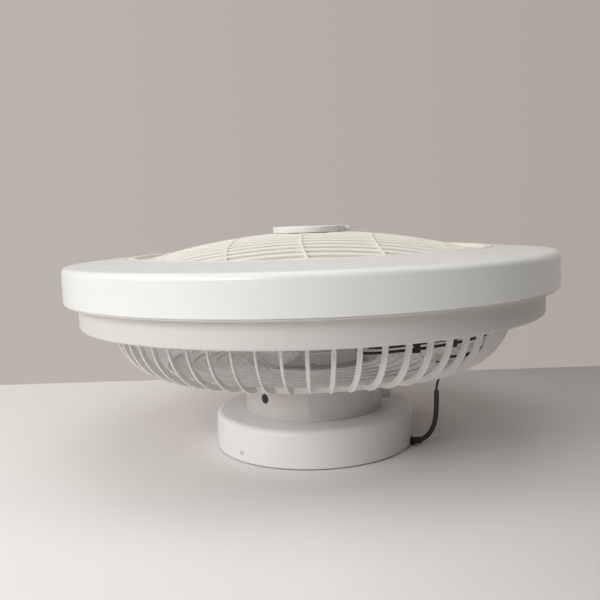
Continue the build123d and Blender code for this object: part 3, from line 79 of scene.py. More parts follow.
def add_node(
    tree: bpy.types.NodeTree, kind: str, settings: dict | None = None,
    links: dict | None = None, **modes: object,
) -> bpy.types.Node:
    """Add a shader node with its modes, socket values and links.

    Args:
        tree: the node tree.
        kind: the node's type name.
        settings: socket name or index to value.
        links: socket name or index to the output that feeds it.
        modes: node properties, set before the sockets.

    Returns:
        The new node.
    """
    node = tree.nodes.new(kind)
    for key, value in modes.items():
        setattr(node, key, value)
    for key, value in (settings or {}).items():
        node.inputs[key].default_value = value
    for key, source in (links or {}).items():
        tree.links.new(source, node.inputs[key])
    return node


def start_material(
    name: str,
) -> tuple[bpy.types.Material, bpy.types.NodeTree, bpy.types.NodeSocket]:
    """Start a node material with nothing in it yet.

    Args:
        name: the material's name.

    Returns:
        The material, its tree and the output that gives the Object coordinates.
    """
    mat = bpy.data.materials.new(name)
    mat.use_nodes = True
    mat.node_tree.nodes.clear()
    return mat, mat.node_tree, add_node(mat.node_tree, "ShaderNodeTexCoord").outputs["Object"]


def tone_across(
    tree: bpy.types.NodeTree, place: bpy.types.NodeSocket, tones: tuple[str, str],
    reach: tuple[float, float],
) -> bpy.types.NodeSocket:
    """A tone that goes evenly from one colour to another along X.

    Args:
        tree: the node tree.
        place: the output that gives the Object coordinates.
        tones: the two colours.
        reach: the X at which each is reached, in metres.

    Returns:
        The output that gives the tone.
    """
    across = add_node(tree, "ShaderNodeSeparateXYZ", {}, {0: place})
    share = add_node(
        tree, "ShaderNodeMapRange", {"From Min": reach[0], "From Max": reach[1]},
        {"Value": across.outputs["X"]},
    )
    tone = add_node(
        tree, "ShaderNodeMix", {6: linear(tones[0]), 7: linear(tones[1])},
        {0: share.outputs[0]}, data_type="RGBA",
    )
    return tone.outputs[2]


def put_in_scene(name: str, data: bpy.types.ID) -> bpy.types.Object:
    """A new object with this data, linked into the scene."""
    obj = bpy.data.objects.new(name, data)
    bpy.context.scene.collection.objects.link(obj)
    return obj


class Texture(Enum):
    """How a moulded or coated surface was made."""

    SATIN = "fine spark-eroded mould texture"
    POLISHED = "polished mould, faint flow marks"
    ORANGE_PEEL = "baked powder coat, slightly pebbled"


@dataclass(frozen=True)
class Plastic:
    """A moulded or coated opaque surface with mottled tone, fine relief and a few dust specks.

    The tone drifts between two colours over `drift_mm`. The relief's real spacing is a few tenths
    of a millimetre, too fine to show from a step away, so it is drawn at `grain_mm`. The gloss
    varies by `spread` over patches of `rub_mm`. In a `speck_share` of the cells of `dust_cell_mm`
    lies one speck, its radius `dust_size` of a cell.
    """

    name: str
    colour: str
    shade: str
    texture: Texture
    roughness: float
    ior: float = 1.52
    drift_mm: float = 90.0
    grain_mm: float = 1.6
    relief_mm: float = 0.02
    rub_mm: float = 26.0
    spread: float = 0.03
    speck_share: float = 0.0
    dust_cell_mm: float = 11.0
    dust_size: float = 0.045
    dust: str = "8E8A84"
    glow: float = 0.0

    def build(self) -> bpy.types.Material:
        """Make the material.

        Returns:
            A material on Object coordinates.
        """
        mat, tree, place = start_material(self.name)
        drift = add_node(
            tree, "ShaderNodeTexNoise",
            {"Scale": 1 / (self.drift_mm * MM), "Detail": 3.0, "Roughness": 0.55},
            {"Vector": place},
        )
        tone = add_node(
            tree, "ShaderNodeMix", {6: linear(self.colour), 7: linear(self.shade)},
            {0: drift.outputs["Fac"]}, data_type="RGBA",
        )
        cells = add_node(
            tree, "ShaderNodeTexVoronoi",
            {"Scale": 1 / (self.dust_cell_mm * MM), "Randomness": 1.0}, {"Vector": place},
        )
        near = add_node(
            tree, "ShaderNodeMath", {1: self.dust_size}, {0: cells.outputs["Distance"]},
            operation="LESS_THAN",
        )
        rare = add_node(
            tree, "ShaderNodeMath", {1: self.speck_share}, {0: cells.outputs["Color"]},
            operation="LESS_THAN",
        )
        speck = add_node(
            tree, "ShaderNodeMath", {}, {0: near.outputs[0], 1: rare.outputs[0]},
            operation="MULTIPLY",
        )
        dusty = add_node(
            tree, "ShaderNodeMix", {7: linear(self.dust)},
            {0: speck.outputs[0], 6: tone.outputs[2]}, data_type="RGBA",
        )
        rub = add_node(
            tree, "ShaderNodeTexNoise",
            {"Scale": 1 / (self.rub_mm * MM), "Detail": 5.0, "Roughness": 0.7}, {"Vector": place},
        )
        gloss = add_node(
            tree, "ShaderNodeMapRange",
            {"From Min": 0.3, "From Max": 0.7, "To Min": self.roughness - self.spread,
             "To Max": self.roughness + self.spread},
            {"Value": rub.outputs["Fac"]},
        )
        grain = add_node(
            tree, "ShaderNodeTexNoise",
            {"Scale": 1 / (self.grain_mm * MM),
             "Detail": 1.0 if self.texture is Texture.ORANGE_PEEL else 3.0},
            {"Vector": place},
        )
        relief = add_node(
            tree, "ShaderNodeBump",
            {"Strength": 0.5 if self.texture is Texture.SATIN else 0.2,
             "Distance": self.relief_mm * MM},
            {"Height": grain.outputs["Fac"]},
        )
        shader = add_node(
            tree, "ShaderNodeBsdfPrincipled",
            {"IOR": self.ior, "Subsurface Weight": self.glow,
             "Subsurface Radius": (0.006, 0.005, 0.004), "Subsurface Scale": 1.0},
            {"Base Color": dusty.outputs[2], "Roughness": gloss.outputs[0],
             "Normal": relief.outputs[0]},
        )
        add_node(tree, "ShaderNodeOutputMaterial", {}, {"Surface": shader.outputs[0]})
        return mat


@dataclass(frozen=True)
class ClearPlastic:
    """Thin clear polycarbonate: see-through, with the flow ripples of the moulding round the axis.

    A wall this thin hardly bends what is behind it, so the surface is mostly open and lets light
    through. It shows by its gloss, by its edges, where one looks along the wall, and by the
    crests of its ripples, which are painted half opaque and white in short streaks: a painted
    highlight that stands for the light they catch.
    """

    name: str
    tint: str
    roughness: float
    ripple_mm: float
    relief_mm: float
    ior: float = 1.585
    haze: float = 0.07
    painted_glint: float = 0.5
    edge: float = 0.45
    wave_scale: float = 0.314

    def build(self) -> bpy.types.Material:
        """Make the material: its alpha is the haze plus the ripples' crests, a painted highlight,
        plus its edges.

        One wave is a tenth of pi wide in the texture's own units, which is `wave_scale`.
        """
        mat, tree, place = start_material(self.name)
        rings = add_node(
            tree, "ShaderNodeTexWave",
            {"Scale": self.wave_scale / (self.ripple_mm * MM), "Distortion": 7.0, "Detail": 3.0,
             "Detail Scale": 0.9, "Detail Roughness": 0.6},
            {"Vector": place}, wave_type="RINGS", rings_direction="Z",
        )
        relief = add_node(
            tree, "ShaderNodeBump", {"Strength": 0.6, "Distance": self.relief_mm * MM},
            {"Height": rings.outputs["Fac"]},
        )
        # The crests' alpha rises above the haze: painted white streaks that stand for glints.
        haze_and_glint = add_node(
            tree, "ShaderNodeMapRange",
            {"From Min": 0.8, "From Max": 1.0, "To Min": self.haze, "To Max": self.painted_glint},
            {"Value": rings.outputs["Fac"]},
        )
        facing = add_node(
            tree, "ShaderNodeLayerWeight", {"Blend": 0.25}, {"Normal": relief.outputs[0]}
        )
        alpha = add_node(
            tree, "ShaderNodeMath", {1: self.edge},
            {0: facing.outputs["Facing"], 2: haze_and_glint.outputs[0]},
            operation="MULTIPLY_ADD", use_clamp=True,
        )
        body = add_node(
            tree, "ShaderNodeBsdfPrincipled",
            {"Base Color": linear(self.tint), "Roughness": self.roughness, "IOR": self.ior},
            {"Normal": relief.outputs[0], "Alpha": alpha.outputs[0]},
        )
        add_node(tree, "ShaderNodeOutputMaterial", {}, {"Surface": body.outputs[0]})
        return mat


@dataclass(frozen=True)
class Metal:
    """A bare or plated metal with drawn or ground marks and a patchy sheen."""

    name: str
    colour: str
    roughness: float
    marks_mm: float = 1.2
    relief_mm: float = 0.01
    stretch: Triple = (1.0, 1.0, 1.0)
    patch_mm: float = 14.0
    smoother: float = 0.07
    duller: float = 0.1

    def build(self) -> bpy.types.Material:
        """Make the material.

        Returns:
            A metal on Object coordinates.
        """
        mat, tree, place = start_material(self.name)
        stretched = add_node(
            tree, "ShaderNodeMapping", {"Scale": self.stretch}, {"Vector": place}
        )
        marks = add_node(
            tree, "ShaderNodeTexNoise", {"Scale": 1 / (self.marks_mm * MM), "Detail": 4.0},
            {"Vector": stretched.outputs[0]},
        )
        patch = add_node(
            tree, "ShaderNodeTexNoise", {"Scale": 1 / (self.patch_mm * MM), "Detail": 2.0},
            {"Vector": place},
        )
        gloss = add_node(
            tree, "ShaderNodeMapRange",
            {"From Min": 0.3, "From Max": 0.7, "To Min": self.roughness - self.smoother,
             "To Max": self.roughness + self.duller},
            {"Value": patch.outputs["Fac"]},
        )
        relief = add_node(
            tree, "ShaderNodeBump", {"Strength": 0.4, "Distance": self.relief_mm * MM},
            {"Height": marks.outputs["Fac"]},
        )
        shader = add_node(
            tree, "ShaderNodeBsdfPrincipled",
            {"Base Color": linear(self.colour), "Metallic": 1.0},
            {"Roughness": gloss.outputs[0], "Normal": relief.outputs[0]},
        )
        add_node(tree, "ShaderNodeOutputMaterial", {}, {"Surface": shader.outputs[0]})
        return mat


POWDER_COAT = Plastic(
    # Baked white powder coat on drawn steel: an even white with a soft, pebbled gloss.
    "powder_coat_white", "F4F3F3", "F1F0F0", Texture.ORANGE_PEEL, 0.32, 1.5,
    drift_mm=140, grain_mm=2.4, relief_mm=0.01,
)
OPAL_ACRYLIC = Plastic(
    # Opal acrylic lamp ring: cool white, polished, with a few dust specks.
    "opal_acrylic", "F1F3F0", "EFF1ED", Texture.POLISHED, 0.24, 1.49,
    drift_mm=200, grain_mm=9.0, relief_mm=0.01, speck_share=0.03,
)
PAN_ABS = Plastic(
    # White ABS of the lamp pan: satin, a shade greyer and warmer than the lamp ring.
    "pan_abs_satin", "E0DEDA", "DDDAD5", Texture.SATIN, 0.42, 1.53, drift_mm=140,
)
CAGE_ABS = Plastic(
    # White ABS of the cage: satin from the mould, with a faintly pink-white body.
    "cage_abs_satin", "EEEBE9", "EAE6E3", Texture.SATIN, 0.40, 1.53, drift_mm=60,
)
GRILLE_ABS = Plastic(
    # Warm white ABS of the grille: the creamiest of the whites, satin from the mould.
    "grille_abs_warm", "F2EFE4", "EFEBDF", Texture.SATIN, 0.42, 1.53, drift_mm=120,
)
CAP_ABS_PAINTED_LIGHT = Plastic(
    # Warm white ABS of the grille's cap, from a smoother mould: painted whiter than the grille as
    # painted light for the brighter light on the cap.
    "cap_abs_painted_light", "FBF9F1", "F9F6EC", Texture.SATIN, 0.36, 1.53, drift_mm=60,
)
NECK_ABS = Plastic(
    # White ABS of the neck drum, the hub and the small inner mouldings: satin, a little duller.
    "neck_abs_satin", "E8E4E0", "E4DFDB", Texture.SATIN, 0.45, 1.53, drift_mm=50,
)
LABEL_FILM = Plastic(
    # Bare polyester film of the label's place: smooth, light grey, a little glossier.
    "label_film_bare", "D9D7D4", "D2CFCC", Texture.POLISHED, 0.24, 1.6,
    drift_mm=30, grain_mm=5.0, relief_mm=0.01,
)
BLACK_ABS_AND_SLOT_SHADE = Plastic(
    # Black ABS of the receiver and the clips: dark, lightly textured. It also fills the screws' slots
    # as painted shade.
    "black_abs_and_slot_shade", "1B1A1A", "242323", Texture.SATIN, 0.38, 1.53, drift_mm=12,
)
NYLON = Plastic(
    # Natural nylon of the terminals and the connector: milky and waxy.
    "natural_nylon", "EBE9E3", "E4E1D9", Texture.POLISHED, 0.36, 1.53,
    drift_mm=12, grain_mm=3.0, glow=0.1,
)
LEAD_PVC = Plastic(
    # Dark brown-black PVC sheath: smooth and shiny, with a long highlight.
    "lead_pvc_dark", "231A18", "2C211E", Texture.POLISHED, 0.24, 1.54,
    drift_mm=14, grain_mm=4.0, relief_mm=0.03,
)
BLACK_RUBBER = Plastic(
    # Moulded black rubber of the grommets: matt, with a bloom.
    "grommet_rubber", "171615", "232120", Texture.SATIN, 0.62, 1.52,
    drift_mm=8, grain_mm=0.9, relief_mm=0.03,
)
BOARD_EPOXY = Plastic(
    # Green solder mask on glass epoxy, with the weave just showing through.
    "board_epoxy_green", "1F5A38", "18492D", Texture.POLISHED, 0.34, 1.55,
    drift_mm=9, grain_mm=1.0,
)
LED_BOARD_MASK = Plastic(
    # White solder mask on the lamp's aluminium board: chalky.
    "led_board_mask", "EDEDE9", "E3E3DE", Texture.POLISHED, 0.4, 1.55, drift_mm=20,
)
LED_RESIN = Plastic(
    # Yellow phosphor resin of the LED packages: glossy and warm.
    "led_phosphor", "E8C65A", "DDB84A", Texture.POLISHED, 0.2, 1.5, drift_mm=4, glow=0.1,
)
FOAM_PAD = Plastic(
    # Grey adhesive foam: matt and open-celled.
    "foam_pad_grey", "4A4A4E", "3D3D41", Texture.SATIN, 0.85, 1.4,
    drift_mm=5, grain_mm=0.8, relief_mm=0.2,
)
FERRITE = Plastic(
    # Sintered ferrite of the magnet ring: dark grey ceramic.
    "ferrite_grey", "303032", "3A3A3C", Texture.SATIN, 0.55, 2.0, drift_mm=10, grain_mm=0.8,
)
CLEAR_PC = ClearPlastic(
    # Clear moulded polycarbonate of the blades: water-clear, with ripples and a little haze.
    "impeller_clear_pc", "F6F8F8", 0.06, 9.0, 0.5,
)
ZINC_STEEL = Metal(
    # Zinc-plated steel of the screws, bracket and rotor shell: cool grey with a soft sheen.
    "zinc_plated_steel", "C4C6CA", 0.34,
)
BEARING_STEEL = Metal(
    # Ground bearing steel of the shaft and bearings: bright, with fine rings.
    "ground_steel", "D2D3D6", 0.18, marks_mm=0.8, stretch=(0.1, 0.1, 3.0),
)
CORE_STEEL = Metal(
    # Stacked laminations: dull steel with fine level lines.
    "lamination_steel", "8C8E93", 0.45, marks_mm=0.9, relief_mm=0.08, stretch=(0.05, 0.05, 4.0),
)
COPPER_WIRE = Metal(
    # Enamelled copper of the windings: reddish and shiny, wound in fine turns.
    "enamelled_copper", "C4703F", 0.28, marks_mm=0.9, relief_mm=0.2, stretch=(0.3, 0.3, 2.0),
)
CAST_ALUMINIUM = Metal(
    # Die-cast aluminium of the stator base: pale and slightly grainy.
    "die_cast_aluminium", "C9CACC", 0.42, marks_mm=1.0, relief_mm=0.03,
)


@dataclass
class Paint:
    """Builds each finish once and hands it out."""

    made: dict[str, bpy.types.Material] = field(default_factory=dict)

    def of(self, finish: Plastic | ClearPlastic | Metal) -> bpy.types.Material:
        """The material of a finish, made on first use."""
        if finish.name not in self.made:
            self.made[finish.name] = finish.build()
        return self.made[finish.name]


@dataclass
class Shell:
    """One closed surface: points in millimetres and faces as lists of point numbers."""

    points: np.ndarray
    faces: list[list[int]]


def grid_shell(grid: np.ndarray, ring: bool = False) -> Shell:
    """Join a grid of points, whose rows are closed outlines, into quads.

    Args:
        grid: points of shape (rows, columns, 3).
        ring: join the last row to the first, or else close both with one face each.

    Returns:
        The closed shell.
    """
    rows, columns = grid.shape[:2]
    index = np.arange(rows * columns).reshape(rows, columns)
    row = np.vstack([index, index[:1]]) if ring else index
    full = np.hstack([row, row[:, :1]])
    quads = np.stack([full[:-1, :-1], full[:-1, 1:], full[1:, 1:], full[1:, :-1]], axis=-1)
    faces = quads.reshape(-1, 4).tolist()
    if not ring:
        faces += [index[0].tolist(), index[-1][::-1].tolist()]
    return Shell(grid.reshape(-1, 3), faces)


def rounded(corners: list[Triple], steps: int = 5, guard: float = 0.35) -> np.ndarray:
    """A closed outline whose corners are arcs, with a guard point beyond each end of an arc.

    At each corner the arc starts r * tan(half the turn) before it, and its points lie on the
    circle of radius r that touches both sides. The guard points keep flat faces flat in shading.

    Args:
        corners: (across, up, radius) in order round the outline.
        steps: points on each arc.
        guard: distance of the guard points.

    Returns:
        Points of shape (n, 2).
    """
    table = np.array(corners, dtype=float)
    centre = table[:, :2]
    before = np.roll(centre, 1, axis=0) - centre
    after = np.roll(centre, -1, axis=0) - centre
    reach_in = np.linalg.norm(before, axis=1)
    reach_out = np.linalg.norm(after, axis=1)
    outline = []
    for i in range(len(centre)):
        inward = before[i] / reach_in[i]
        onward = after[i] / reach_out[i]
        radius = table[i, 2]
        if radius <= 0:
            outline.append(centre[i][None])
            continue
        half = math.acos(float(np.clip(inward @ onward, -0.9999, 0.9999))) / 2
        cut = radius / math.tan(half)
        middle = inward + onward
        hub = centre[i] + middle / np.linalg.norm(middle) * radius / math.sin(half)
        start = centre[i] + inward * cut - hub
        finish = centre[i] + onward * cut - hub
        share = np.linspace(0, 1, steps)[:, None]
        swing = math.acos(float(np.clip(start @ finish / radius**2, -1, 1)))
        arc = np.sin((1 - share) * swing) * start + np.sin(share * swing) * finish
        pieces = [arc / math.sin(swing) + hub]
        if cut + 2 * guard < reach_in[i] / 2:
            pieces.insert(0, (centre[i] + inward * (cut + guard))[None])
        if cut + 2 * guard < reach_out[i] / 2:
            pieces.append((centre[i] + onward * (cut + guard))[None])
        outline.extend(pieces)
    return np.vstack(outline)


def lathe(outline: np.ndarray, segments: int = 224) -> Shell:
    """Turn a closed outline about the axis: x = r cos a, y = r sin a, z = up.

    Args:
        outline: points (radius, up) of a closed outline.
        segments: steps of the turn.

    Returns:
        A shell that is closed both ways round.
    """
    turn = np.linspace(0, 2 * np.pi, segments, endpoint=False)[:, None]
    grid = np.stack(
        [outline[:, 0] * np.cos(turn), outline[:, 0] * np.sin(turn),
         np.broadcast_to(outline[:, 1], (segments, len(outline)))], axis=-1,
    )
    return grid_shell(grid, ring=True)


def turned_part(
    outline: np.ndarray, centre: tuple[float, float] = (0, 0), segments: int = 40,
) -> Shell:
    """Turn an outline that ends on its axis about an upright axis through a centre."""
    shell = lathe(outline, segments)
    shell.points = shell.points + np.array([centre[0], centre[1], 0.0])
    return shell


def drill(
    radius: float, low: float, high: float, centre: tuple[float, float] = (0, 0),
    segments: int = 40,
) -> Shell:
    """A plain upright cylinder round a centre, to cut a round hole with."""
    outline = np.array([(0, low), (radius, low), (radius, high), (0, high)], dtype=float)
    return turned_part(outline, centre, segments)


def posts(
    radius: float, root: float, tip: float, edge: float, circle: float, count: int,
    first: float = 0.0,
) -> list[Shell]:
    """Upright round posts spread evenly round a circle.

    Args:
        radius: radius of a post.
        root: height of the end that is sunk into a wall.
        tip: height of the free end, above or below the root.
        edge: radius of the free end's edge.
        circle: radius of the circle.
        count: number of posts.
        first: angle of the first post.

    Returns:
        One shell for each post.
    """
    outline = rounded([(0, root, 0), (radius, root, 0), (radius, tip, edge), (0, tip, 0)])
    angles = [first + 360 / count * i for i in range(count)]
    return [turned_part(outline, spot(circle, a, 0)[:2], 24) for a in angles]


def tongue(
    back: float, front: float, width: float, root: float = 0.0, tip: float = 0.0,
) -> np.ndarray:
    """A level outline that points outwards, with corner radii at its root and at its tip."""
    half = width / 2
    return rounded([
        (back, -half, root), (front, -half, tip), (front, half, tip), (back, half, root),
    ])


def slab(outline: np.ndarray, low: float, high: float, edge: float = 0.3) -> Shell:
    """Extrude a level outline upwards, its rims drawn in by a small edge.

    Args:
        outline: points (x, y) anticlockwise.
        low: height of the underside.
        high: height of the top.
        edge: size of the bevel round both rims.

    Returns:
        A closed shell.
    """
    middle = outline.mean(axis=0)
    reach = np.linalg.norm(outline - middle, axis=1, keepdims=True)
    drawn = middle + (outline - middle) * (1 - edge / reach)
    levels = [(drawn, low), (outline, low + edge), (outline, high - edge), (drawn, high)]
    return grid_shell(
        np.stack([np.column_stack([ring, np.full(len(ring), z)]) for ring, z in levels])
    )


def moved(shell: Shell, angle: float, radius: float = 0.0, side: float = 0.0) -> Shell:
    """A copy of a shell set out along an angle and turned to face it.

    Args:
        shell: the shell, with its local x pointing outwards.
        angle: degrees about the axis.
        radius: distance along the angle.
        side: sideways distance.

    Returns:
        The turned copy.
    """
    a = math.radians(angle)
    shifted = shell.points + np.array([radius, side, 0.0])
    spin = np.array([[math.cos(a), -math.sin(a), 0], [math.sin(a), math.cos(a), 0], [0, 0, 1]])
    return Shell(shifted @ spin.T, shell.faces)


def upended(shell: Shell, angle: float, radius: float, height: float) -> Shell:
    """Lay a shell down, its up axis pointing outwards along an angle from a radius and height."""
    local = shell.points
    lying = np.column_stack([local[:, 2] + radius, local[:, 0], local[:, 1]])
    placed = moved(Shell(lying, shell.faces), angle)
    placed.points = placed.points + np.array([0.0, 0.0, height])
    return placed


@dataclass
class Workshop:
    """Makes pieces from shells, dresses them and ties them to their bodies and nodes."""

    paint: Paint = field(default_factory=Paint)

    def solid(self, name: str, shells: list[Shell]) -> bpy.types.Object:
        """Put shells into one object at the origin, in metres, with their faces outwards."""
        points, faces, offset = [], [], 0
        for shell in shells:
            points.append(shell.points)
            faces.extend([[i + offset for i in face] for face in shell.faces])
            offset += len(shell.points)
        mesh = bpy.data.meshes.new(name)
        mesh.from_pydata((np.vstack(points) * MM).tolist(), [], faces)
        tidy = bmesh.new()
        tidy.from_mesh(mesh)
        bmesh.ops.remove_doubles(tidy, verts=tidy.verts, dist=1e-7)
        bmesh.ops.recalc_face_normals(tidy, faces=tidy.faces)
        tidy.to_mesh(mesh)
        tidy.free()
        return put_in_scene(name, mesh)

    def cut(self, obj: bpy.types.Object, cutters: list[Shell]) -> None:
        """Take cutters out of a piece for good: what is in the piece and in no cutter stays."""
        tool = self.solid("cutter", cutters)
        step = obj.modifiers.new("cut", "BOOLEAN")
        step.operation = "DIFFERENCE"
        step.solver = "EXACT"
        step.object = tool
        bpy.context.view_layer.update()
        view = bpy.context.evaluated_depsgraph_get()
        whole = obj.data
        obj.data = bpy.data.meshes.new_from_object(obj.evaluated_get(view))
        obj.data.name = obj.name
        obj.modifiers.clear()
        spent = tool.data
        bpy.data.objects.remove(tool)
        bpy.data.meshes.remove(spent)
        bpy.data.meshes.remove(whole)

    def tie(self, obj: bpy.types.Object, nodes: tuple[str, ...], body: str) -> None:
        """Let a piece ride on its body in place of its nodes."""
        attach(obj, body)
        if nodes:
            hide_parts(*nodes)
        log.info("%s: rides on %s in place of %s", obj.name, body, nodes or "no node")

    def piece(
        self, name: str, shells: list[Shell], finish: Plastic | ClearPlastic | Metal,
        nodes: tuple[str, ...] = (), body: str = "housing", crease: float = 40.0,
        cutters: list[Shell] | None = None,
    ) -> None:
        """Make one piece from its shells, at the origin.

        Args:
            name: the piece's name.
            shells: closed surfaces in millimetres.
            finish: what it is made of.
            nodes: the nodes that it replaces.
            body: the body that it rides on.
            crease: edges that turn more than this many degrees stay sharp.
            cutters: closed surfaces to take out of it.
        """
        obj = self.solid(name, shells)
        if cutters:
            self.cut(obj, cutters)
        mesh = obj.data
        mesh.polygons.foreach_set("use_smooth", np.ones(len(mesh.polygons), dtype=bool))
        mesh.set_sharp_from_angle(angle=math.radians(crease))
        mesh.materials.clear()
        mesh.materials.append(self.paint.of(finish))
        self.tie(obj, nodes, body)

    def dress(self, finish: Plastic | Metal, *nodes: str) -> None:
        """Give nodes that keep their shapes a better material."""
        for node in nodes:
            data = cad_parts[node].data
            data.materials.clear()
            data.materials.append(self.paint.of(finish))
            log.info("%s: dressed in %s", node, finish.name)

    def lead(self, name: str, routes: list[list[Triple]], radius: float, node: str) -> None:
        """A dark round lead of one or more strands, each a smooth line with its route's points.

        Args:
            name: the piece's name.
            routes: control points of each strand, in millimetres.
            radius: radius of a strand.
            node: the node that it replaces.
        """
        curve = bpy.data.curves.new(name, "CURVE")
        curve.dimensions = "3D"
        curve.bevel_depth = radius * MM
        curve.bevel_resolution = 5
        curve.resolution_u = 10
        curve.use_fill_caps = True
        for route in routes:
            spline = curve.splines.new("NURBS")
            spline.points.add(len(route) - 1)
            flat = np.column_stack([np.array(route) * MM, np.ones(len(route))])
            spline.points.foreach_set("co", flat.ravel())
            spline.order_u = 3
            spline.use_endpoint_u = True
        curve.materials.append(self.paint.of(LEAD_PVC))
        self.tie(put_in_scene(name, curve), (node,), "housing")


@dataclass
class Canopy:
    """Drawn steel cup against the ceiling, with its side screws, bracket and inner parts."""

    radius: float = 105.0
    height: float = 37.5
    wall: float = 1.2
    shoulder: float = 6.5
    foot_gap: float = 0.9
    hole: float = 20.0
    screw_angles: tuple[float, float] = (-133.4, 46.6)
    screw_height: float = 10.4
    screw_hole: float = 2.35
    screw_shank: float = 2.0
    screw_length: float = 6.0
    screw_head: float = 3.0
    screw_head_height: float = 1.1
    slot_width: float = 1.2
    slot_length: float = 3.6
    # Depth and top of the dark blocks in the screws' slots, which are painted shade.
    slot_shade_depth: float = 2.98
    slot_shade_top: float = 0.75
    notch_angle: float = -20.0
    notch_radius: float = 3.7
    notch_height: float = 4.6

    def cup(self) -> Shell:
        """The cup: a wall and a roof whose two shoulders are arcs about one centre.

        It hangs on the bracket, so its lip stops just short of the ceiling.
        """
        roof = self.height - self.wall
        return lathe(rounded([
            (self.radius, self.foot_gap, 0.7), (self.radius, self.height, self.shoulder),
            (self.hole, self.height, 0.4), (self.hole, roof, 0.4),
            (self.radius - self.wall, roof, self.shoulder - self.wall),
            (self.radius - self.wall, self.foot_gap, 0.4),
        ], steps=9))

    def holes(self) -> list[Shell]:
        """Cutters: two round side holes, and the lead's notch, a slot with a round top."""
        inner = self.radius - 5 * self.wall
        length = 10 * self.wall
        hole = drill(self.screw_hole, 0, length)
        cutters = [upended(hole, a, inner, self.screw_height) for a in self.screw_angles]
        arch = np.linspace(0, np.pi, 20)
        below = -2 * self.notch_height
        outline = np.vstack([
            np.column_stack([np.cos(arch), np.sin(arch)]) * self.notch_radius,
            [(-self.notch_radius, below), (self.notch_radius, below)],
        ])
        notch = slab(outline, 0, length, edge=0.01)
        cutters.append(upended(notch, self.notch_angle, inner, self.notch_height))
        return cutters

    def screw(self, angle: float) -> Shell:
        """A low white head with a domed face and a shank, lying along an angle."""
        shank, head, top = self.screw_shank, self.screw_head, self.screw_head_height
        profile = rounded([
            (0, -self.screw_length, 0), (shank, -self.screw_length, 0.3), (shank, 0.05, 0),
            (head, 0.05, 0.2), (head, top, 0.85), (0, top, 0),
        ])
        return upended(turned_part(profile), angle, self.radius, self.screw_height)

    def driver_slots(self, low: float, high: float) -> list[Shell]:
        """The upright driver slots of both screws' heads, from one depth to another."""
        x, y = self.slot_width / 2, self.slot_length / 2
        outline = slab(np.array([(x, -y), (x, y), (-x, y), (-x, -y)]), low, high, edge=0.01)
        return [upended(outline, a, self.radius, self.screw_height) for a in self.screw_angles]

    def build(self, shop: Workshop) -> None:
        """Make the cup and its screws, lay a dark block in each slot as painted shade, and dress the
        inner parts.
        """
        shop.piece(
            "canopy_cup", [self.cup()], POWDER_COAT, ("canopy",),
            cutters=self.holes(),
        )
        shop.piece(
            "canopy_side_screws", [self.screw(a) for a in self.screw_angles], POWDER_COAT,
            ("canopy_screws",), cutters=self.driver_slots(-3.0, 4.0),
        )
        # A dark block in each screw's slot: painted shade where the deep slot lies in shadow.
        shop.piece(
            "canopy_slot_painted_shade", self.driver_slots(-self.slot_shade_depth, self.slot_shade_top), BLACK_ABS_AND_SLOT_SHADE,
        )
        shop.dress(ZINC_STEEL, "ceiling_bracket", "neck_screws", "terminal_screws")
        shop.dress(NYLON, "terminal_block", "lamp_connector", "lamp_terminal")
        shop.dress(NECK_ABS, "driver_case", "driver_lid")
        shop.dress(BOARD_EPOXY, "driver_board")
        shop.dress(FOAM_PAD, "driver_pad")
        shop.dress(LEAD_PVC, "feed_lead", "motor_lead", "receiver_lead")


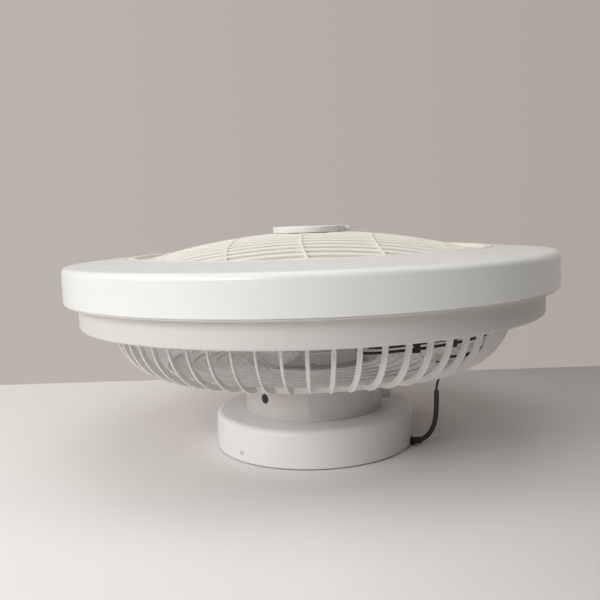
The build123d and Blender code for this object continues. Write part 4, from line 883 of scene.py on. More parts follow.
@dataclass
class Neck:
    """Moulded drum between the canopy and the cage, with a window, a wing and a bare plate."""

    radius: float = 73.0
    wall: float = 2.5
    low: float = 37.5
    top: float = 86.0
    flange: float = 3.0
    base_bore: float = 55.0
    top_bore: float = 58.0
    boss: float = 5.0
    boss_height: float = 15.0
    boss_edge: float = 0.5
    base_screws: float = 62.0
    top_screws: float = 63.5
    window_angle: float = -132.5
    window_height: float = 57.5
    window_radius: float = 5.0
    wing_angle: float = -2.0
    wing_width: float = 8.0
    wing_reach: float = 9.0
    wing_low: float = 43.0
    wing_height: float = 8.0
    plate_start: float = -93.5
    plate_arc: float = 60.5
    plate_low: float = 41.5
    plate_height: float = 26.0
    plate_thickness: float = 0.4
    plate_corner: float = 2.5

    def drum(self) -> Shell:
        """The drum: a wall with an inward flange at each end, all its corners rounded."""
        inner = self.radius - self.wall
        return lathe(rounded([
            (self.radius, self.low, 0.5), (self.radius, self.top, 0.5),
            (self.top_bore, self.top, 0.5), (self.top_bore, self.top - self.flange, 0.5),
            (inner, self.top - self.flange, 1.0), (inner, self.low + self.flange, 1.0),
            (self.base_bore, self.low + self.flange, 0.5), (self.base_bore, self.low, 0.5),
        ]))

    def bosses(self) -> list[Shell]:
        """The ten screw bosses inside: four up from the base, six down from the top."""
        low, high = self.low + self.boss_height, self.top - self.boss_height
        return [
            *posts(self.boss, self.low + 1, low, self.boss_edge, self.base_screws, 4, 25),
            *posts(self.boss, self.top - 1, high, self.boss_edge, self.top_screws, 6, 30),
        ]

    def wing(self) -> Shell:
        """The small solid boss that stands out of the drum's side."""
        outline = tongue(-2, self.wing_reach, self.wing_width, tip=1.2)
        block = slab(outline, self.wing_low, self.wing_low + self.wing_height, edge=0.6)
        return moved(block, self.wing_angle, self.radius)

    def window(self) -> Shell:
        """Cutter of the receiver's round window, from well inside the wall to outside it."""
        hole = drill(self.window_radius, 0, 9, segments=48)
        return upended(hole, self.window_angle, self.radius - 6, self.window_height)

    def plate(self) -> Shell:
        """The bare plate: a thin curved sheet whose four corners are quarter circles.

        Its height at arc length s from an end is the full height less
        2 * (c - sqrt(c^2 - (c - s)^2)) for s under the corner radius c. Its outer edges are
        bevelled, and it stands a hair's breadth off the drum.
        """
        length = math.radians(self.plate_arc) * self.radius
        c = self.plate_corner
        bevel = 0.12
        ends = c * (1 - np.cos(np.linspace(0.12, np.pi / 2, 7)))
        s = np.concatenate([ends, np.linspace(c, length - c, 64)[1:-1], length - ends[::-1]])
        near = np.minimum(s, length - s)
        trim = np.where(near < c, c - np.sqrt(np.maximum(c**2 - (c - near) ** 2, 0)), 0)
        low = self.plate_low + trim
        high = self.plate_low + self.plate_height - trim
        angle = np.radians(self.plate_start) + s / self.radius
        base = self.radius + 0.02
        face = base + self.plate_thickness
        radii = np.array([base, face - bevel, face, face, face - bevel, base])
        inset = np.array([0, 0, bevel, -bevel, 0, 0])
        upper = np.array([False, False, False, True, True, True])
        z = np.where(upper, high[:, None], low[:, None]) + inset
        return grid_shell(np.stack([
            radii * np.cos(angle)[:, None], radii * np.sin(angle)[:, None], z
        ], axis=-1))

    def build(self, shop: Workshop) -> None:
        """Make the drum with its bosses and its plate, and dress the receiver."""
        shop.piece(
            "neck_drum", [self.drum()], NECK_ABS, ("neck",),
            cutters=[self.window()],
        )
        shop.piece("neck_bosses", [self.wing(), *self.bosses()], NECK_ABS)
        shop.piece("label_plate", [self.plate()], LABEL_FILM, ("rating_plate",))
        shop.dress(BLACK_ABS_AND_SLOT_SHADE, "ir_receiver")


@dataclass
class Cage:
    """Ribbed cage: a floor plate with a hoop, a top ring and sixty leaning ribs."""

    bore: float = 52.0
    flat: float = 153.0
    floor: float = 86.0
    plate: float = 2.5
    hoop_width: float = 3.5
    hoop_height: float = 5.5
    top: float = 138.0
    ring_in: float = 188.0
    ring_out: float = 205.4
    ring_thickness: float = 3.0
    ribs: int = 60
    rib_thickness: float = 1.8
    rib_depth: float = 6.0
    rib_lean: float = 25.0
    rib_edge: float = 0.55
    rib_sunk: float = 1.4
    rib_phase: float = -90.8
    floor_ring_in: float = 79.0
    floor_ring_pitch: float = 12.0
    floor_ring_count: int = 5
    floor_ring_width: float = 1.6
    floor_ring_height: float = 1.6
    collar: float = 55.0
    collar_low: float = 90.5
    collar_high: float = 103.0
    lead_hole: float = 4.1
    lead_at: tuple[float, float] = (137.4, -20.0)

    def base(self) -> Shell:
        """The floor plate and its hoop as one turned section."""
        outer = self.flat + self.hoop_width / 3
        inner = outer - self.hoop_width
        rim = self.floor + self.hoop_height
        deck = self.floor + self.plate
        return lathe(rounded([
            (self.bore, self.floor, 0.4), (outer, self.floor, 1.2), (outer, rim, 0.9),
            (inner, rim, 0.9), (inner, deck, 0.8), (self.bore, deck, 0.4),
        ]))

    def ring(self) -> Shell:
        """The flat top ring, its outer edges rounded."""
        low = self.top - self.ring_thickness
        return lathe(rounded([
            (self.ring_in, low, 0.4), (self.ring_out, low, 1.2), (self.ring_out, self.top, 0.5),
            (self.ring_in, self.top, 0.3),
        ]))

    def rib(self) -> np.ndarray:
        """One rib's grid at angle 0: its leaning section carried along a quarter circle.

        At turn t the section's point (a, b) lies at x = flat + (R + a) cos t, y = b and
        z = top - (R + a) sin t, where R is the radius of the rib's middle line. It starts in the
        top ring, `rib_sunk` under its face, and ends just before the floor's own level.
        """
        middle = self.top - self.floor - self.reach()
        lean = math.radians(self.rib_lean)
        half_a, half_b, edge = self.rib_depth / 2, self.rib_thickness / 2, self.rib_edge
        section = rounded([
            (-half_a, -half_b, edge), (half_a, -half_b, edge), (half_a, half_b, edge),
            (-half_a, half_b, edge),
        ], steps=4, guard=0.3)
        turn = np.array([[math.cos(lean), -math.sin(lean)], [math.sin(lean), math.cos(lean)]])
        a, b = (section @ turn.T).T
        t = np.linspace(math.asin(self.rib_sunk / middle), np.pi / 2 - 0.01, 15)[:, None]
        return np.stack([
            self.flat + (middle + a) * np.cos(t), np.broadcast_to(b, (len(t), len(b))),
            self.top - (middle + a) * np.sin(t),
        ], axis=-1)

    def reach(self) -> float:
        """How far a leaning rib's corner stands out from its middle line."""
        lean = math.radians(self.rib_lean)
        return self.rib_depth / 2 * math.cos(lean) + self.rib_thickness / 2 * math.sin(lean)

    def all_ribs(self) -> list[Shell]:
        """Copies of the rib's grid round the axis."""
        one = grid_shell(self.rib())
        step = 360 / self.ribs
        return [moved(one, self.rib_phase + step * i) for i in range(self.ribs)]

    def upright_ring(self, radius: float, low: float, high: float) -> Shell:
        """A thin upright ring about the axis, its upper edges rounded."""
        outer = radius + self.floor_ring_width
        return lathe(rounded([
            (radius, low, 0.1), (outer, low, 0.1), (outer, high, 0.6), (radius, high, 0.6),
        ]), 160)

    def floor_rings(self) -> list[Shell]:
        """Low stiffening rings on the floor and the collar that hides the motor's foot."""
        deck = self.floor + self.plate
        radii = [self.floor_ring_in + self.floor_ring_pitch * i for i in range(self.floor_ring_count)]
        rings = [self.upright_ring(r, deck - 0.2, deck + self.floor_ring_height) for r in radii]
        return [*rings, self.upright_ring(self.collar, self.collar_low, self.collar_high)]

    def lead_cutter(self) -> Shell:
        """Cutter of the lead's hole, from under the floor to above it."""
        centre = spot(*self.lead_at, 0)[:2]
        return drill(self.lead_hole, self.floor - 6, self.floor + 9, centre, 32)

    def build(self, shop: Workshop) -> None:
        """Make the floor, the ribs and the ring, and dress the screws, grommet and clips."""
        shop.piece(
            "cage_base", [self.base()], CAGE_ABS, ("cage_floor",),
            cutters=[self.lead_cutter()],
        )
        shop.piece("cage_floor_rings", self.floor_rings(), CAGE_ABS)
        shop.piece("cage_rib_set", self.all_ribs(), CAGE_ABS, ("cage_ribs",))
        shop.piece("cage_top_ring", [self.ring()], CAGE_ABS, ("cage_ring",))
        shop.dress(ZINC_STEEL, "cage_screws", "pan_screws")
        shop.dress(BLACK_RUBBER, "cage_grommet")
        shop.dress(BLACK_ABS_AND_SLOT_SHADE, "lead_clips")


@dataclass
class Leads:
    """The lamp's lead from the canopy through the cage to the lamp, and its boot."""

    angle: float = -20.0
    sheath_radius: float = 2.5
    core_radius: float = 1.1
    core_side: float = 1.2
    strand_radius: float = 1.3
    strand_side: float = 1.4
    strand_run: float = 195.2
    strand_top: float = 141.6
    exit_height: float = 4.6
    boot_arc_radius: float = 22.6
    boot_centre: tuple[float, float] = (106.55, 27.2)
    boot_turn: float = 24.7

    def sheath(self) -> list[Triple]:
        """Route of the sheath, its points listed."""
        level = self.exit_height
        points = ((87.5, level), (111.5, level), (121.5, 9.2), (129, 21), (132.2, 38), (132.2, 58.5))
        return [spot(r, self.angle, z) for r, z in points]

    def core(self, side: float) -> list[Triple]:
        """Route of one core past the sheath's end, its points listed."""
        points = ((132.2, 58.5), (132.2, 63.5), (135.6, 73.5), (137.4, 82.5), (137.4, 93))
        return [spot(r, self.angle, z, side) for r, z in points]

    def strand(self, side: float, level: float, end: float, rise: float) -> list[Triple]:
        """Route of one strand of the lamp's lead inside the cage, its points listed.

        Args:
            side: sideways distance of the strand where it runs outwards.
            level: height of its long run behind the ribs.
            end: angle at which it turns up into the lamp.
            rise: how far above the level the turn starts.

        Returns:
            The route's points.
        """
        out = ((142.4, 94.0), (153, 94.0), (165, 97), (177, 103.3), (187.5, 114))
        run = self.strand_run
        route = [spot(r, self.angle, z, side) for r, z in out]
        route.append(spot(run, self.angle - 1, level, side))
        route += [spot(run, a, level) for a in (-32, -43, -54, -65)]
        route += [spot(run, end + 2.4, level + 0.2), spot(run, end, level + rise),
                  spot(run, end, self.strand_top)]
        return route

    def boot(self) -> Shell:
        """The boot: rings of radius r(s) on an arc, tapering outwards with four soft lumps.

        Past the wall r(s) = 4.0 - 0.75 s + 0.22 cos(8 pi s), from s = 0 at the wall to 1 at the
        tip, where the last two rings are drawn in. A flange of radius 4.5 stands on each side of
        the wall, with a neck in the notch, and no point goes under the ceiling face.
        """
        s = np.linspace(0, 1, 41)
        body = 4.0 - 0.75 * s + 0.22 * np.cos(8 * np.pi * s)
        body[-1] = 2.6
        body[-2] -= 0.3
        phi = math.radians(self.boot_turn) * s
        arc_r = self.boot_centre[0] + self.boot_arc_radius * np.sin(phi)
        arc_z = self.boot_centre[1] - self.boot_arc_radius * np.cos(phi)
        along = np.column_stack([np.cos(phi), np.sin(phi)])
        head_r, head_radius = np.array([
            (102.25, 2.6), (102.3, 4.2), (102.6, 4.5), (103.5, 4.5), (103.7, 4.3), (103.7, 3.6),
            (105.1, 3.6), (105.1, 4.3), (105.4, 4.5), (106.3, 4.5), (106.5, 4.2),
        ]).T
        radius = np.concatenate([head_radius, body])[:, None]
        mid_r = np.concatenate([head_r, arc_r])[:, None]
        mid_z = np.concatenate([np.full(len(head_r), self.exit_height), arc_z])[:, None]
        along = np.vstack([np.tile([1.0, 0.0], (len(head_r), 1)), along])
        turn = np.linspace(0, 2 * np.pi, 36, endpoint=False)
        lift = np.maximum(radius * np.sin(turn), 0.05 - mid_z)
        grid = np.stack([
            mid_r - along[:, 1:] * lift, radius * np.cos(turn), mid_z + along[:, :1] * lift,
        ], axis=-1)
        return moved(grid_shell(grid), self.angle)

    def build(self, shop: Workshop) -> None:
        """Make the sheath, its cores, the lamp's strands and the boot."""
        cores = [self.core(side) for side in (self.core_side, -self.core_side)]
        high = self.strand(self.strand_side, 129.5, -77.2, 2.3)
        low = self.strand(-self.strand_side, 125.3, -79.5, 3.3)
        shop.lead("lead_outer_sheath", [self.sheath()], self.sheath_radius, "lead_sheath")
        shop.lead("lead_inner_cores", cores, self.core_radius, "lead_cores")
        shop.lead("lamp_lead_strands", [high, low], self.strand_radius, "lamp_lead")
        shop.piece(
            "lead_boot", [self.boot()], BLACK_RUBBER, ("lead_grommet",),
            crease=60,
        )


@dataclass
class Motor:
    """The motor inside the hub, which keeps its shapes and gets its materials."""

    steel: tuple[str, ...] = ("motor_plate", "motor_screws", "rotor_shell")
    ground: tuple[str, ...] = ("bearing_lower", "bearing_upper", "shaft", "shaft_clip", "drive_pin")

    def build(self, shop: Workshop) -> None:
        """Dress every piece of the motor."""
        shop.dress(ZINC_STEEL, *self.steel)
        shop.dress(BEARING_STEEL, *self.ground)
        shop.dress(CAST_ALUMINIUM, "stator_base")
        shop.dress(CORE_STEEL, "stator_core")
        shop.dress(COPPER_WIRE, "windings")
        shop.dress(FERRITE, "magnet_ring")


@dataclass
class Impeller:
    """Seven-bladed impeller: a white hub cup with clear, twisted, swept blades, and its nut."""

    hub: float = 53.0
    wall: float = 2.5
    low: float = 101.0
    top: float = 142.0
    bore: float = 4.2
    boss: float = 12.0
    boss_low: float = 126.0
    blades: int = 7
    tip: float = 168.0
    thickness: float = 2.2
    middle: float = 121.5
    phase: float = -70.0
    stations: Triple = (44.0, 110.0, 172.0)
    chord: Triple = (52.0, 72.0, 76.0)
    pitch: Triple = (38.0, 28.0, 22.0)
    camber: Triple = (5.0, 6.0, 5.0)
    sweep: Triple = (0.0, 6.0, 16.0)

    def cup(self) -> Shell:
        """The hub: a cup with its open end down and a boss round the shaft."""
        inner = self.hub - self.wall
        roof = self.top - self.wall
        return lathe(rounded([
            (self.bore, self.boss_low, 0.3), (self.boss, self.boss_low, 0.6),
            (self.boss, roof, 1.0), (inner, roof, 1.5), (inner, self.low, 0.4),
            (self.hub, self.low, 0.4), (self.hub, self.top, 3.0), (self.bore, self.top, 0.3),
        ]), 160)

    def along(self, values: Triple, x: np.ndarray) -> np.ndarray:
        """A value at distance x from the axis: the parabola through its three stations."""
        return np.polyval(np.polyfit(self.stations, values, 2), x)

    def blade(self) -> Shell:
        """One blade, its section lofted from the hub to the tip.

        At distance x, the section's point at share s of the half chord lies at
        y = sweep + s run + camber (1 - s^2) sin p and z = middle - s rise +
        camber (1 - s^2) cos p, and half the thickness, which falls to nothing at both edges as
        |sin|^0.4, is added to z. The ends follow cylinders about the axis: x is the fixed point of
        x = sqrt(R^2 - y(x)^2) for radii R from inside the hub's wall to the tip. The last two
        sections are thinner, which rounds the tip.
        """
        ring = np.linspace(0, 2 * np.pi, 48, endpoint=False)
        s = np.cos(ring)
        half = np.sign(np.sin(ring)) * np.abs(np.sin(ring)) ** 0.4 * self.thickness / 2
        full = np.linspace(self.hub - self.wall / 2, self.tip - 0.8, 40)
        reach = np.concatenate([full, [self.tip - 0.3, self.tip]])[:, None]
        half = np.concatenate([np.ones(len(full)), [0.8, 0.35]])[:, None] * half
        x = np.broadcast_to(reach, (len(reach), len(s))).copy()
        for _ in range(12):
            p = np.radians(self.along(self.pitch, x))
            run = self.along(self.chord, x) / 2 * np.cos(p)
            bulge = self.along(self.camber, x) * (1 - s**2)
            y = self.along(self.sweep, x) + s * run + bulge * np.sin(p)
            x = np.sqrt(reach**2 - y**2)
        rise = self.along(self.chord, x) / 2 * np.sin(p)
        z = self.middle - s * rise + bulge * np.cos(p) + half
        return grid_shell(np.stack([x, y, z], axis=-1))

    def build(self, shop: Workshop) -> None:
        """Make the white hub and the clear blades, and dress the nut."""
        one = self.blade()
        turns = [moved(one, self.phase + 360 / self.blades * i) for i in range(self.blades)]
        shop.piece("impeller_blades", turns, CLEAR_PC, ("impeller",), "rotor", crease=50)
        shop.piece("impeller_hub", [self.cup()], NECK_ABS, body="rotor")
        shop.dress(NECK_ABS, "spinner_nut")


@dataclass
class Lamp:
    """Ring lamp: the pan with its air duct, the opal ring, and the board with its chips."""

    pan: float = 236.5
    pan_low: float = 138.0
    pan_floor: float = 2.0
    pan_wall: float = 2.2
    pan_edge: float = 2.5
    rim: float = 247.6
    rim_low: float = 162.0
    rim_thickness: float = 2.0
    duct: float = 184.0
    duct_wall: float = 2.0
    duct_top: float = 199.6
    flange: float = 191.0
    flange_thickness: float = 2.4
    seat_low: float = 193.5
    seat_boss: float = 10.0
    seat_boss_height: float = 12.5
    post: float = 4.0
    post_height: float = 6.0
    post_circle: float = 192.3
    opal: float = 250.0
    opal_wall: float = 2.6
    opal_top: float = 203.0
    opal_bore: float = 187.3
    slope: float = 4.9
    corner: float = 6.0
    foot: float = 6.5
    foot_thickness: float = 2.5

    def pan_shell(self) -> Shell:
        """The pan, its rim and the duct as one turned section."""
        deck = self.pan_low + self.pan_floor
        inner = self.pan - self.pan_wall
        rim_top = self.rim_low + self.rim_thickness
        tube = self.duct + self.duct_wall
        under = self.duct_top - self.flange_thickness
        return lathe(rounded([
            (self.duct, self.pan_low, 0.5), (self.pan, self.pan_low, self.pan_edge),
            (self.pan, self.rim_low, 0.8), (self.rim, self.rim_low, 0.5),
            (self.rim, rim_top, 0.5), (inner, rim_top, 0.6), (inner, deck, 1.0),
            (tube, deck, 0.8), (tube, under, 0.5), (self.flange, under, 0.3),
            (self.flange, self.duct_top, 0.3), (self.duct, self.duct_top, 0.4),
        ]))

    def bosses(self) -> list[Shell]:
        """Six square seat bosses inside the duct and six round screw bosses on the floor."""
        block = slab(
            tongue(-8, 0.5, self.seat_boss), self.seat_low - self.seat_boss_height, self.seat_low,
            edge=0.4,
        )
        deck = self.pan_low + self.pan_floor
        return [
            *[moved(block, 60 * i, self.duct) for i in range(6)],
            *posts(self.post, deck - 1, deck + self.post_height, 0.4, self.post_circle, 6),
        ]

    def opal_shell(self) -> Shell:
        """The opal ring: a straight wall, a rounded corner and a top that slopes up inwards."""
        fall = math.tan(math.radians(self.slope))
        low = self.rim_low + self.rim_thickness
        outer_z = self.opal_top - (self.opal - self.opal_bore) * fall
        drop = self.opal_wall / math.cos(math.radians(self.slope))
        skirt = self.opal_bore + self.opal_wall
        inner = self.opal - self.opal_wall
        return lathe(rounded([
            (self.opal, low, 0.5), (self.opal, outer_z, self.corner),
            (self.opal_bore, self.opal_top, 0.5), (self.opal_bore, self.duct_top, 0.3),
            (skirt, self.duct_top, 0.3), (skirt, self.opal_top - self.opal_wall * fall - drop, 0.5),
            (inner, outer_z + self.opal_wall * fall - drop, self.corner - self.opal_wall),
            (inner, low + self.foot_thickness, 0.5),
            (self.opal - self.foot, low + self.foot_thickness, 0.4),
            (self.opal - self.foot, low, 0.4),
        ], steps=9), 288)

    def build(self, shop: Workshop) -> None:
        """Make the pan and the opal ring, and dress the lamp's board and the seat ring."""
        shop.piece("lamp_pan_shell", [self.pan_shell()], PAN_ABS, ("lamp_pan",))
        shop.piece("lamp_pan_bosses", self.bosses(), PAN_ABS)
        shop.piece("opal_ring", [self.opal_shell()], OPAL_ACRYLIC, ("diffuser",))
        shop.dress(LED_BOARD_MASK, "led_board")
        shop.dress(LED_RESIN, "led_chips")
        shop.dress(PAN_ABS, "seat_ring")
        shop.dress(ZINC_STEEL, "led_screws", "seat_screws")


@dataclass
class Grille:
    """Domed grille of straight slats and bowed braces in a stepped lip, with its centre cap."""

    radius: float = 186.4
    top: float = 203.2
    lip_in: float = 179.5
    step: float = 183.4
    floor_low: float = 197.3
    floor_thickness: float = 2.4
    step_low: float = 199.9
    dome_top: float = 223.2
    sphere: float = 622.0
    dome_thickness: float = 5.0
    dome_edge: float = 165.0
    dome_foot: float = 169.5
    slots: float = 160.5
    bar_edge: float = 1.45
    bar_sunk: float = 1.5
    slat_pitch: float = 14.4
    slat_width: float = 5.0
    brace_pitch: float = 68.5
    brace_width: float = 3.0
    brace_bow: float = 6.5
    brace_half: float = 159.5
    slat_drop: float = 0.15
    cap: float = 37.4
    cap_low: float = 222.2
    cap_top: float = 228.7
    cap_wall: float = 2.0
    cap_edge: float = 1.2
    tab_reach: float = 6.1
    tab_width: float = 7.0
    leg: float = 2.2
    leg_length: float = 10.0
    leg_circle: float = 26.0
    lug_angle: float = -90.0
    lug_width: float = 8.0
    lug_in: float = 171.0
    stem_reach: float = 4.8
    foot_reach: float = 10.0

    def dome(self, radius: np.ndarray, depth: float = 0.0) -> np.ndarray:
        """Height of the dome at a radius: centre height + sqrt((sphere - depth)^2 - radius^2)."""
        return self.dome_top - self.sphere + np.sqrt((self.sphere - depth) ** 2 - radius**2)

    def rim(self) -> Shell:
        """The dome's unslotted edge, the groove's floor and the stepped lip, turned as one."""
        upper = self.dome(np.array([self.slots, self.dome_edge]))
        deck = self.floor_low + self.floor_thickness
        return lathe(rounded([
            (self.slots, self.floor_low, 0.4), (self.step, self.floor_low, 0.4),
            (self.step, self.step_low, 0.3), (self.radius, self.step_low, 0.4),
            (self.radius, self.top, 0.7), (self.lip_in, self.top, 0.6), (self.lip_in, deck, 0.4),
            (self.dome_foot, deck, 0.3), (self.dome_edge, upper[1], 0.5),
            (self.slots, upper[0], 0.4),
        ]), 288)

    def bar(self, middle: np.ndarray, across: np.ndarray, width: float, drop: float) -> Shell:
        """A bar under the dome's surface: a rounded section carried along a level line.

        Args:
            middle: points (x, y) along the bar's middle line.
            across: unit vectors (x, y) across the bar.
            width: the bar's width.
            drop: how far its top lies under the dome's surface.

        Returns:
            A closed bar whose top and underside follow the dome.
        """
        half = width / 2
        section = rounded([
            (-half, -self.dome_thickness, 0.3), (half, -self.dome_thickness, 0.3),
            (half, -drop, self.bar_edge), (-half, -drop, self.bar_edge),
        ], guard=0.3)
        flat = middle[:, None, :] + across[:, None, :] * section[None, :, :1]
        z = self.dome(np.linalg.norm(flat, axis=-1)) + section[None, :, 1]
        return grid_shell(np.dstack([flat, z]))

    def half_chord(self, distance: float) -> float:
        """Half the length of a bar at a distance from the middle, its ends sunk in the rim."""
        return math.sqrt((self.slots + self.bar_sunk) ** 2 - distance**2)

    def slats(self) -> list[Shell]:
        """Straight bars along X at an even pitch, each as long as its chord of the circle."""
        count = int(self.slots / self.slat_pitch)
        bars = []
        for k in range(-count, count + 1):
            y = k * self.slat_pitch
            reach = self.half_chord(y)
            x = np.linspace(-reach, reach, 41)
            middle = np.column_stack([x, np.full_like(x, y)])
            across = np.tile([0.0, 1.0], (len(x), 1))
            bars.append(self.bar(middle, across, self.slat_width, self.slat_drop))
        return bars

    def braces(self) -> list[Shell]:
        """Bowed bars across the slats: x = k pitch + bow sin(pi y / half)."""
        count = int(self.slots / self.brace_pitch)
        bars = []
        for k in range(-count, count + 1):
            x0 = k * self.brace_pitch
            reach = self.half_chord(x0)
            y = np.linspace(-reach, reach, 61)
            swing = np.pi / self.brace_half
            x = x0 + self.brace_bow * np.sin(swing * y)
            tilt = self.brace_bow * swing * np.cos(swing * y)
            across = np.column_stack([np.ones_like(y), -tilt])
            across /= np.linalg.norm(across, axis=1, keepdims=True)
            bars.append(self.bar(np.column_stack([x, y]), across, self.brace_width, 0.0))
        return bars

    def lugs(self) -> list[Shell]:
        """Three bayonet lugs: a stem down through the seat ring and a foot outwards under it."""
        stem = tongue(0, self.stem_reach, self.lug_width, 0.4, 0.4)
        foot = tongue(0, self.foot_reach, self.lug_width, 0.4, 0.8)
        shells = [slab(stem, 191.5, 198.5, edge=0.2), slab(foot, 190.8, 193.2, edge=0.3)]
        return [moved(s, self.lug_angle + 120 * i, self.lug_in) for i in range(3) for s in shells]

    def centre_cap(self) -> list[Shell]:
        """The cap: a shallow turned lid, its side tab and its three legs."""
        roof = self.cap_top - self.cap_wall
        inner = self.cap - self.cap_wall
        lid = turned_part(rounded([
            (0, roof, 0), (inner, roof, 0.4), (inner, self.cap_low, 0.3),
            (self.cap, self.cap_low, 0.3), (self.cap, self.cap_top, self.cap_edge),
            (0, self.cap_top, 0),
        ]), segments=160)
        outline = tongue(-1.5, self.tab_reach, self.tab_width, tip=1.5)
        tab = slab(outline, self.cap_low + 0.1, self.cap_top - self.cap_edge, edge=0.5)
        legs = posts(
            self.leg, roof + 0.5, roof - self.leg_length, 0.4, self.leg_circle, 3, first=60,
        )
        return [lid, moved(tab, 0, self.cap), *legs]

    def build(self, shop: Workshop) -> None:
        """Make the rim with its lugs, the slats, the braces and the cap."""
        for name, shells, finish, nodes in (
            ("grille_rim", [self.rim(), *self.lugs()], GRILLE_ABS, ("grille",)),
            ("grille_slats", self.slats(), GRILLE_ABS, ()),
            ("grille_braces", self.braces(), GRILLE_ABS, ()),
            ("grille_cap", self.centre_cap(), CAP_ABS_PAINTED_LIGHT, ("centre_cap",)),
        ):
            shop.piece(name, shells, finish, nodes, "grille_body")


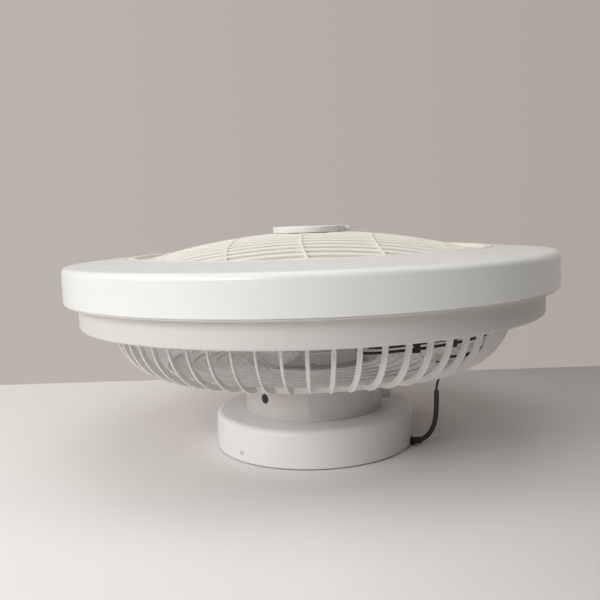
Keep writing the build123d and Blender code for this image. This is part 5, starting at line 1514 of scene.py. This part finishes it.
@dataclass
class Studio:
    """Pale floor, backdrop, soft lights and the camera.

    The backdrop stands close behind the fan. To the eye it has its own tone, darker to the right
    as painted shade, without the fan's shadow, and it shows from the front alone, so that the fan
    can be seen from behind.
    """

    # The floor's two tones: its pale colour on the left, greyer to the right as painted shade.
    floor_tones_painted_shade: tuple[str, str] = ("F3EFEC", "CBC6C3")
    floor_reach: tuple[float, float] = (0.0, 0.34)
    # The backdrop's tones: darker to the right as painted shade.
    wall_tones_painted_shade: tuple[str, str] = ("BBB4AD", "B0A59D")
    wall_reach: tuple[float, float] = (-0.4, 0.45)
    wall_at: float = 0.316
    wall_height: float = 3.0
    stage_half: float = 4.0
    sky_tone: str = "EDE9E6"
    sky_light: float = 0.03
    sky_seen: float = 0.8
    aim: Triple = (0.0, 0.0, 0.12)
    camera_at: Triple = (6.19, -747.45, 230.92)
    yaw: float = -0.02373
    pitch: float = 0.10713
    roll: float = -0.03681
    lens: float = 42.308

    def floor_material(self) -> bpy.types.Material:
        """A matt pale floor, painted greyer to the right of the fan as painted shade where the light
        falls off.
        """
        mat, tree, place = start_material("matt_floor")
        tone = tone_across(tree, place, self.floor_tones_painted_shade, self.floor_reach)
        shader = add_node(
            tree, "ShaderNodeBsdfPrincipled", {"Roughness": 0.75}, {"Base Color": tone}
        )
        add_node(tree, "ShaderNodeOutputMaterial", {}, {"Surface": shader.outputs[0]})
        return mat

    def wall_material(self) -> bpy.types.Material:
        """A backdrop that the eye sees in its own tone, painted darker to the right as painted shade,
        and only in front.
        """
        mat, tree, place = start_material("plain_wall")
        tone = tone_across(tree, place, self.wall_tones_painted_shade, self.wall_reach)
        matt = add_node(
            tree, "ShaderNodeBsdfPrincipled", {"Roughness": 0.8}, {"Base Color": tone}
        )
        seen = add_node(tree, "ShaderNodeEmission", {"Strength": 1.0}, {"Color": tone})
        ray = add_node(tree, "ShaderNodeLightPath")
        direct = add_node(
            tree, "ShaderNodeMath", {},
            {0: ray.outputs["Is Camera Ray"], 1: ray.outputs["Is Glossy Ray"]}, operation="MAXIMUM",
        )
        front = add_node(
            tree, "ShaderNodeMixShader", {},
            {0: direct.outputs[0], 1: matt.outputs[0], 2: seen.outputs[0]},
        )
        side = add_node(tree, "ShaderNodeNewGeometry").outputs["Backfacing"]
        clear = add_node(tree, "ShaderNodeBsdfTransparent")
        faced = add_node(
            tree, "ShaderNodeMixShader", {}, {0: side, 1: front.outputs[0], 2: clear.outputs[0]}
        )
        add_node(tree, "ShaderNodeOutputMaterial", {}, {"Surface": faced.outputs[0]})
        return mat

    def surface(self, name: str, corners: list[Triple], mat: bpy.types.Material) -> None:
        """A flat stage surface through its four corners, in metres."""
        mesh = bpy.data.meshes.new(name)
        mesh.from_pydata(corners, [], [(0, 1, 2, 3)])
        mesh.materials.append(mat)
        put_in_scene(name, mesh)

    def lamp(self, name: str, place: Triple, side: float, power: float) -> None:
        """A square white lamp aimed at the fan's middle, in metres and watts."""
        light = bpy.data.lights.new(name, "AREA")
        light.shape = "RECTANGLE"
        light.size = light.size_y = side
        light.energy = power
        turn = (Vector(self.aim) - Vector(place)).to_track_quat("-Z", "Y")
        obj = put_in_scene(name, light)
        obj.matrix_world = Matrix.Translation(place) @ turn.to_matrix().to_4x4()

    def camera(self) -> None:
        """The camera: forward from yaw and pitch, then turned by its roll about that line."""
        forward = Vector((
            math.sin(self.yaw) * math.cos(self.pitch), math.cos(self.yaw) * math.cos(self.pitch),
            -math.sin(self.pitch),
        ))
        level = Vector((math.cos(self.yaw), -math.sin(self.yaw), 0))
        upright = level.cross(forward)
        right = math.cos(self.roll) * level + math.sin(self.roll) * upright
        up = -math.sin(self.roll) * level + math.cos(self.roll) * upright
        data = bpy.data.cameras.new("camera")
        data.sensor_width = 36.0
        data.lens = self.lens
        data.clip_start, data.clip_end = 0.01, 50.0
        obj = put_in_scene("camera", data)
        place = np.array(self.camera_at) * MM
        obj.matrix_world = Matrix((
            (right.x, up.x, -forward.x, place[0]), (right.y, up.y, -forward.y, place[1]),
            (right.z, up.z, -forward.z, place[2]), (0, 0, 0, 1),
        ))
        bpy.context.scene.camera = obj

    def world(self) -> None:
        """A sky that lights the fan dimly and that the eye sees as a pale grey."""
        sky = bpy.data.worlds.new("studio_sky")
        sky.use_nodes = True
        tree = sky.node_tree
        ray = add_node(tree, "ShaderNodeLightPath")
        strength = add_node(
            tree, "ShaderNodeMapRange", {"To Min": self.sky_light, "To Max": self.sky_seen},
            {"Value": ray.outputs["Is Camera Ray"]},
        )
        back = tree.nodes["Background"]
        back.inputs["Color"].default_value = linear(self.sky_tone)
        tree.links.new(strength.outputs[0], back.inputs["Strength"])
        bpy.context.scene.world = sky

    def build(self) -> None:
        """Set the stage, the lights and the camera."""
        x, y, z = self.stage_half, self.wall_at, self.wall_height
        floor = [(-x, -x, 0), (x, -x, 0), (x, x, 0), (-x, x, 0)]
        wall = [(-x, y, 0), (x, y, 0), (x, y, z), (-x, y, z)]
        self.surface("floor", floor, self.floor_material())
        self.surface("backdrop", wall, self.wall_material())
        self.lamp("left_key", (-1.5, -0.7, 0.8), 0.8, 6.6)
        self.lamp("left_high", (-1.2, -0.5, 1.5), 0.8, 2.6)
        self.lamp("front_left", (-0.95, -1.4, 0.9), 0.8, 12.3)
        self.lamp("right_high", (1.4, -0.45, 1.75), 0.8, 4.5)
        self.lamp("top_soft", (0.0, -0.45, 1.8), 1.4, 11.8)
        self.world()
        self.camera()
        bpy.context.scene.view_settings.view_transform = "Standard"


def main() -> None:
    """Build every sub-assembly from the ceiling outwards, then the studio."""
    logging.basicConfig(level=logging.INFO, format="%(name)s: %(message)s")
    shop = Workshop()
    for part in (Canopy(), Neck(), Cage(), Leads(), Motor(), Impeller(), Lamp(), Grille()):
        part.build(shop)
    Studio().build()


if __name__ == "__main__":
    main()
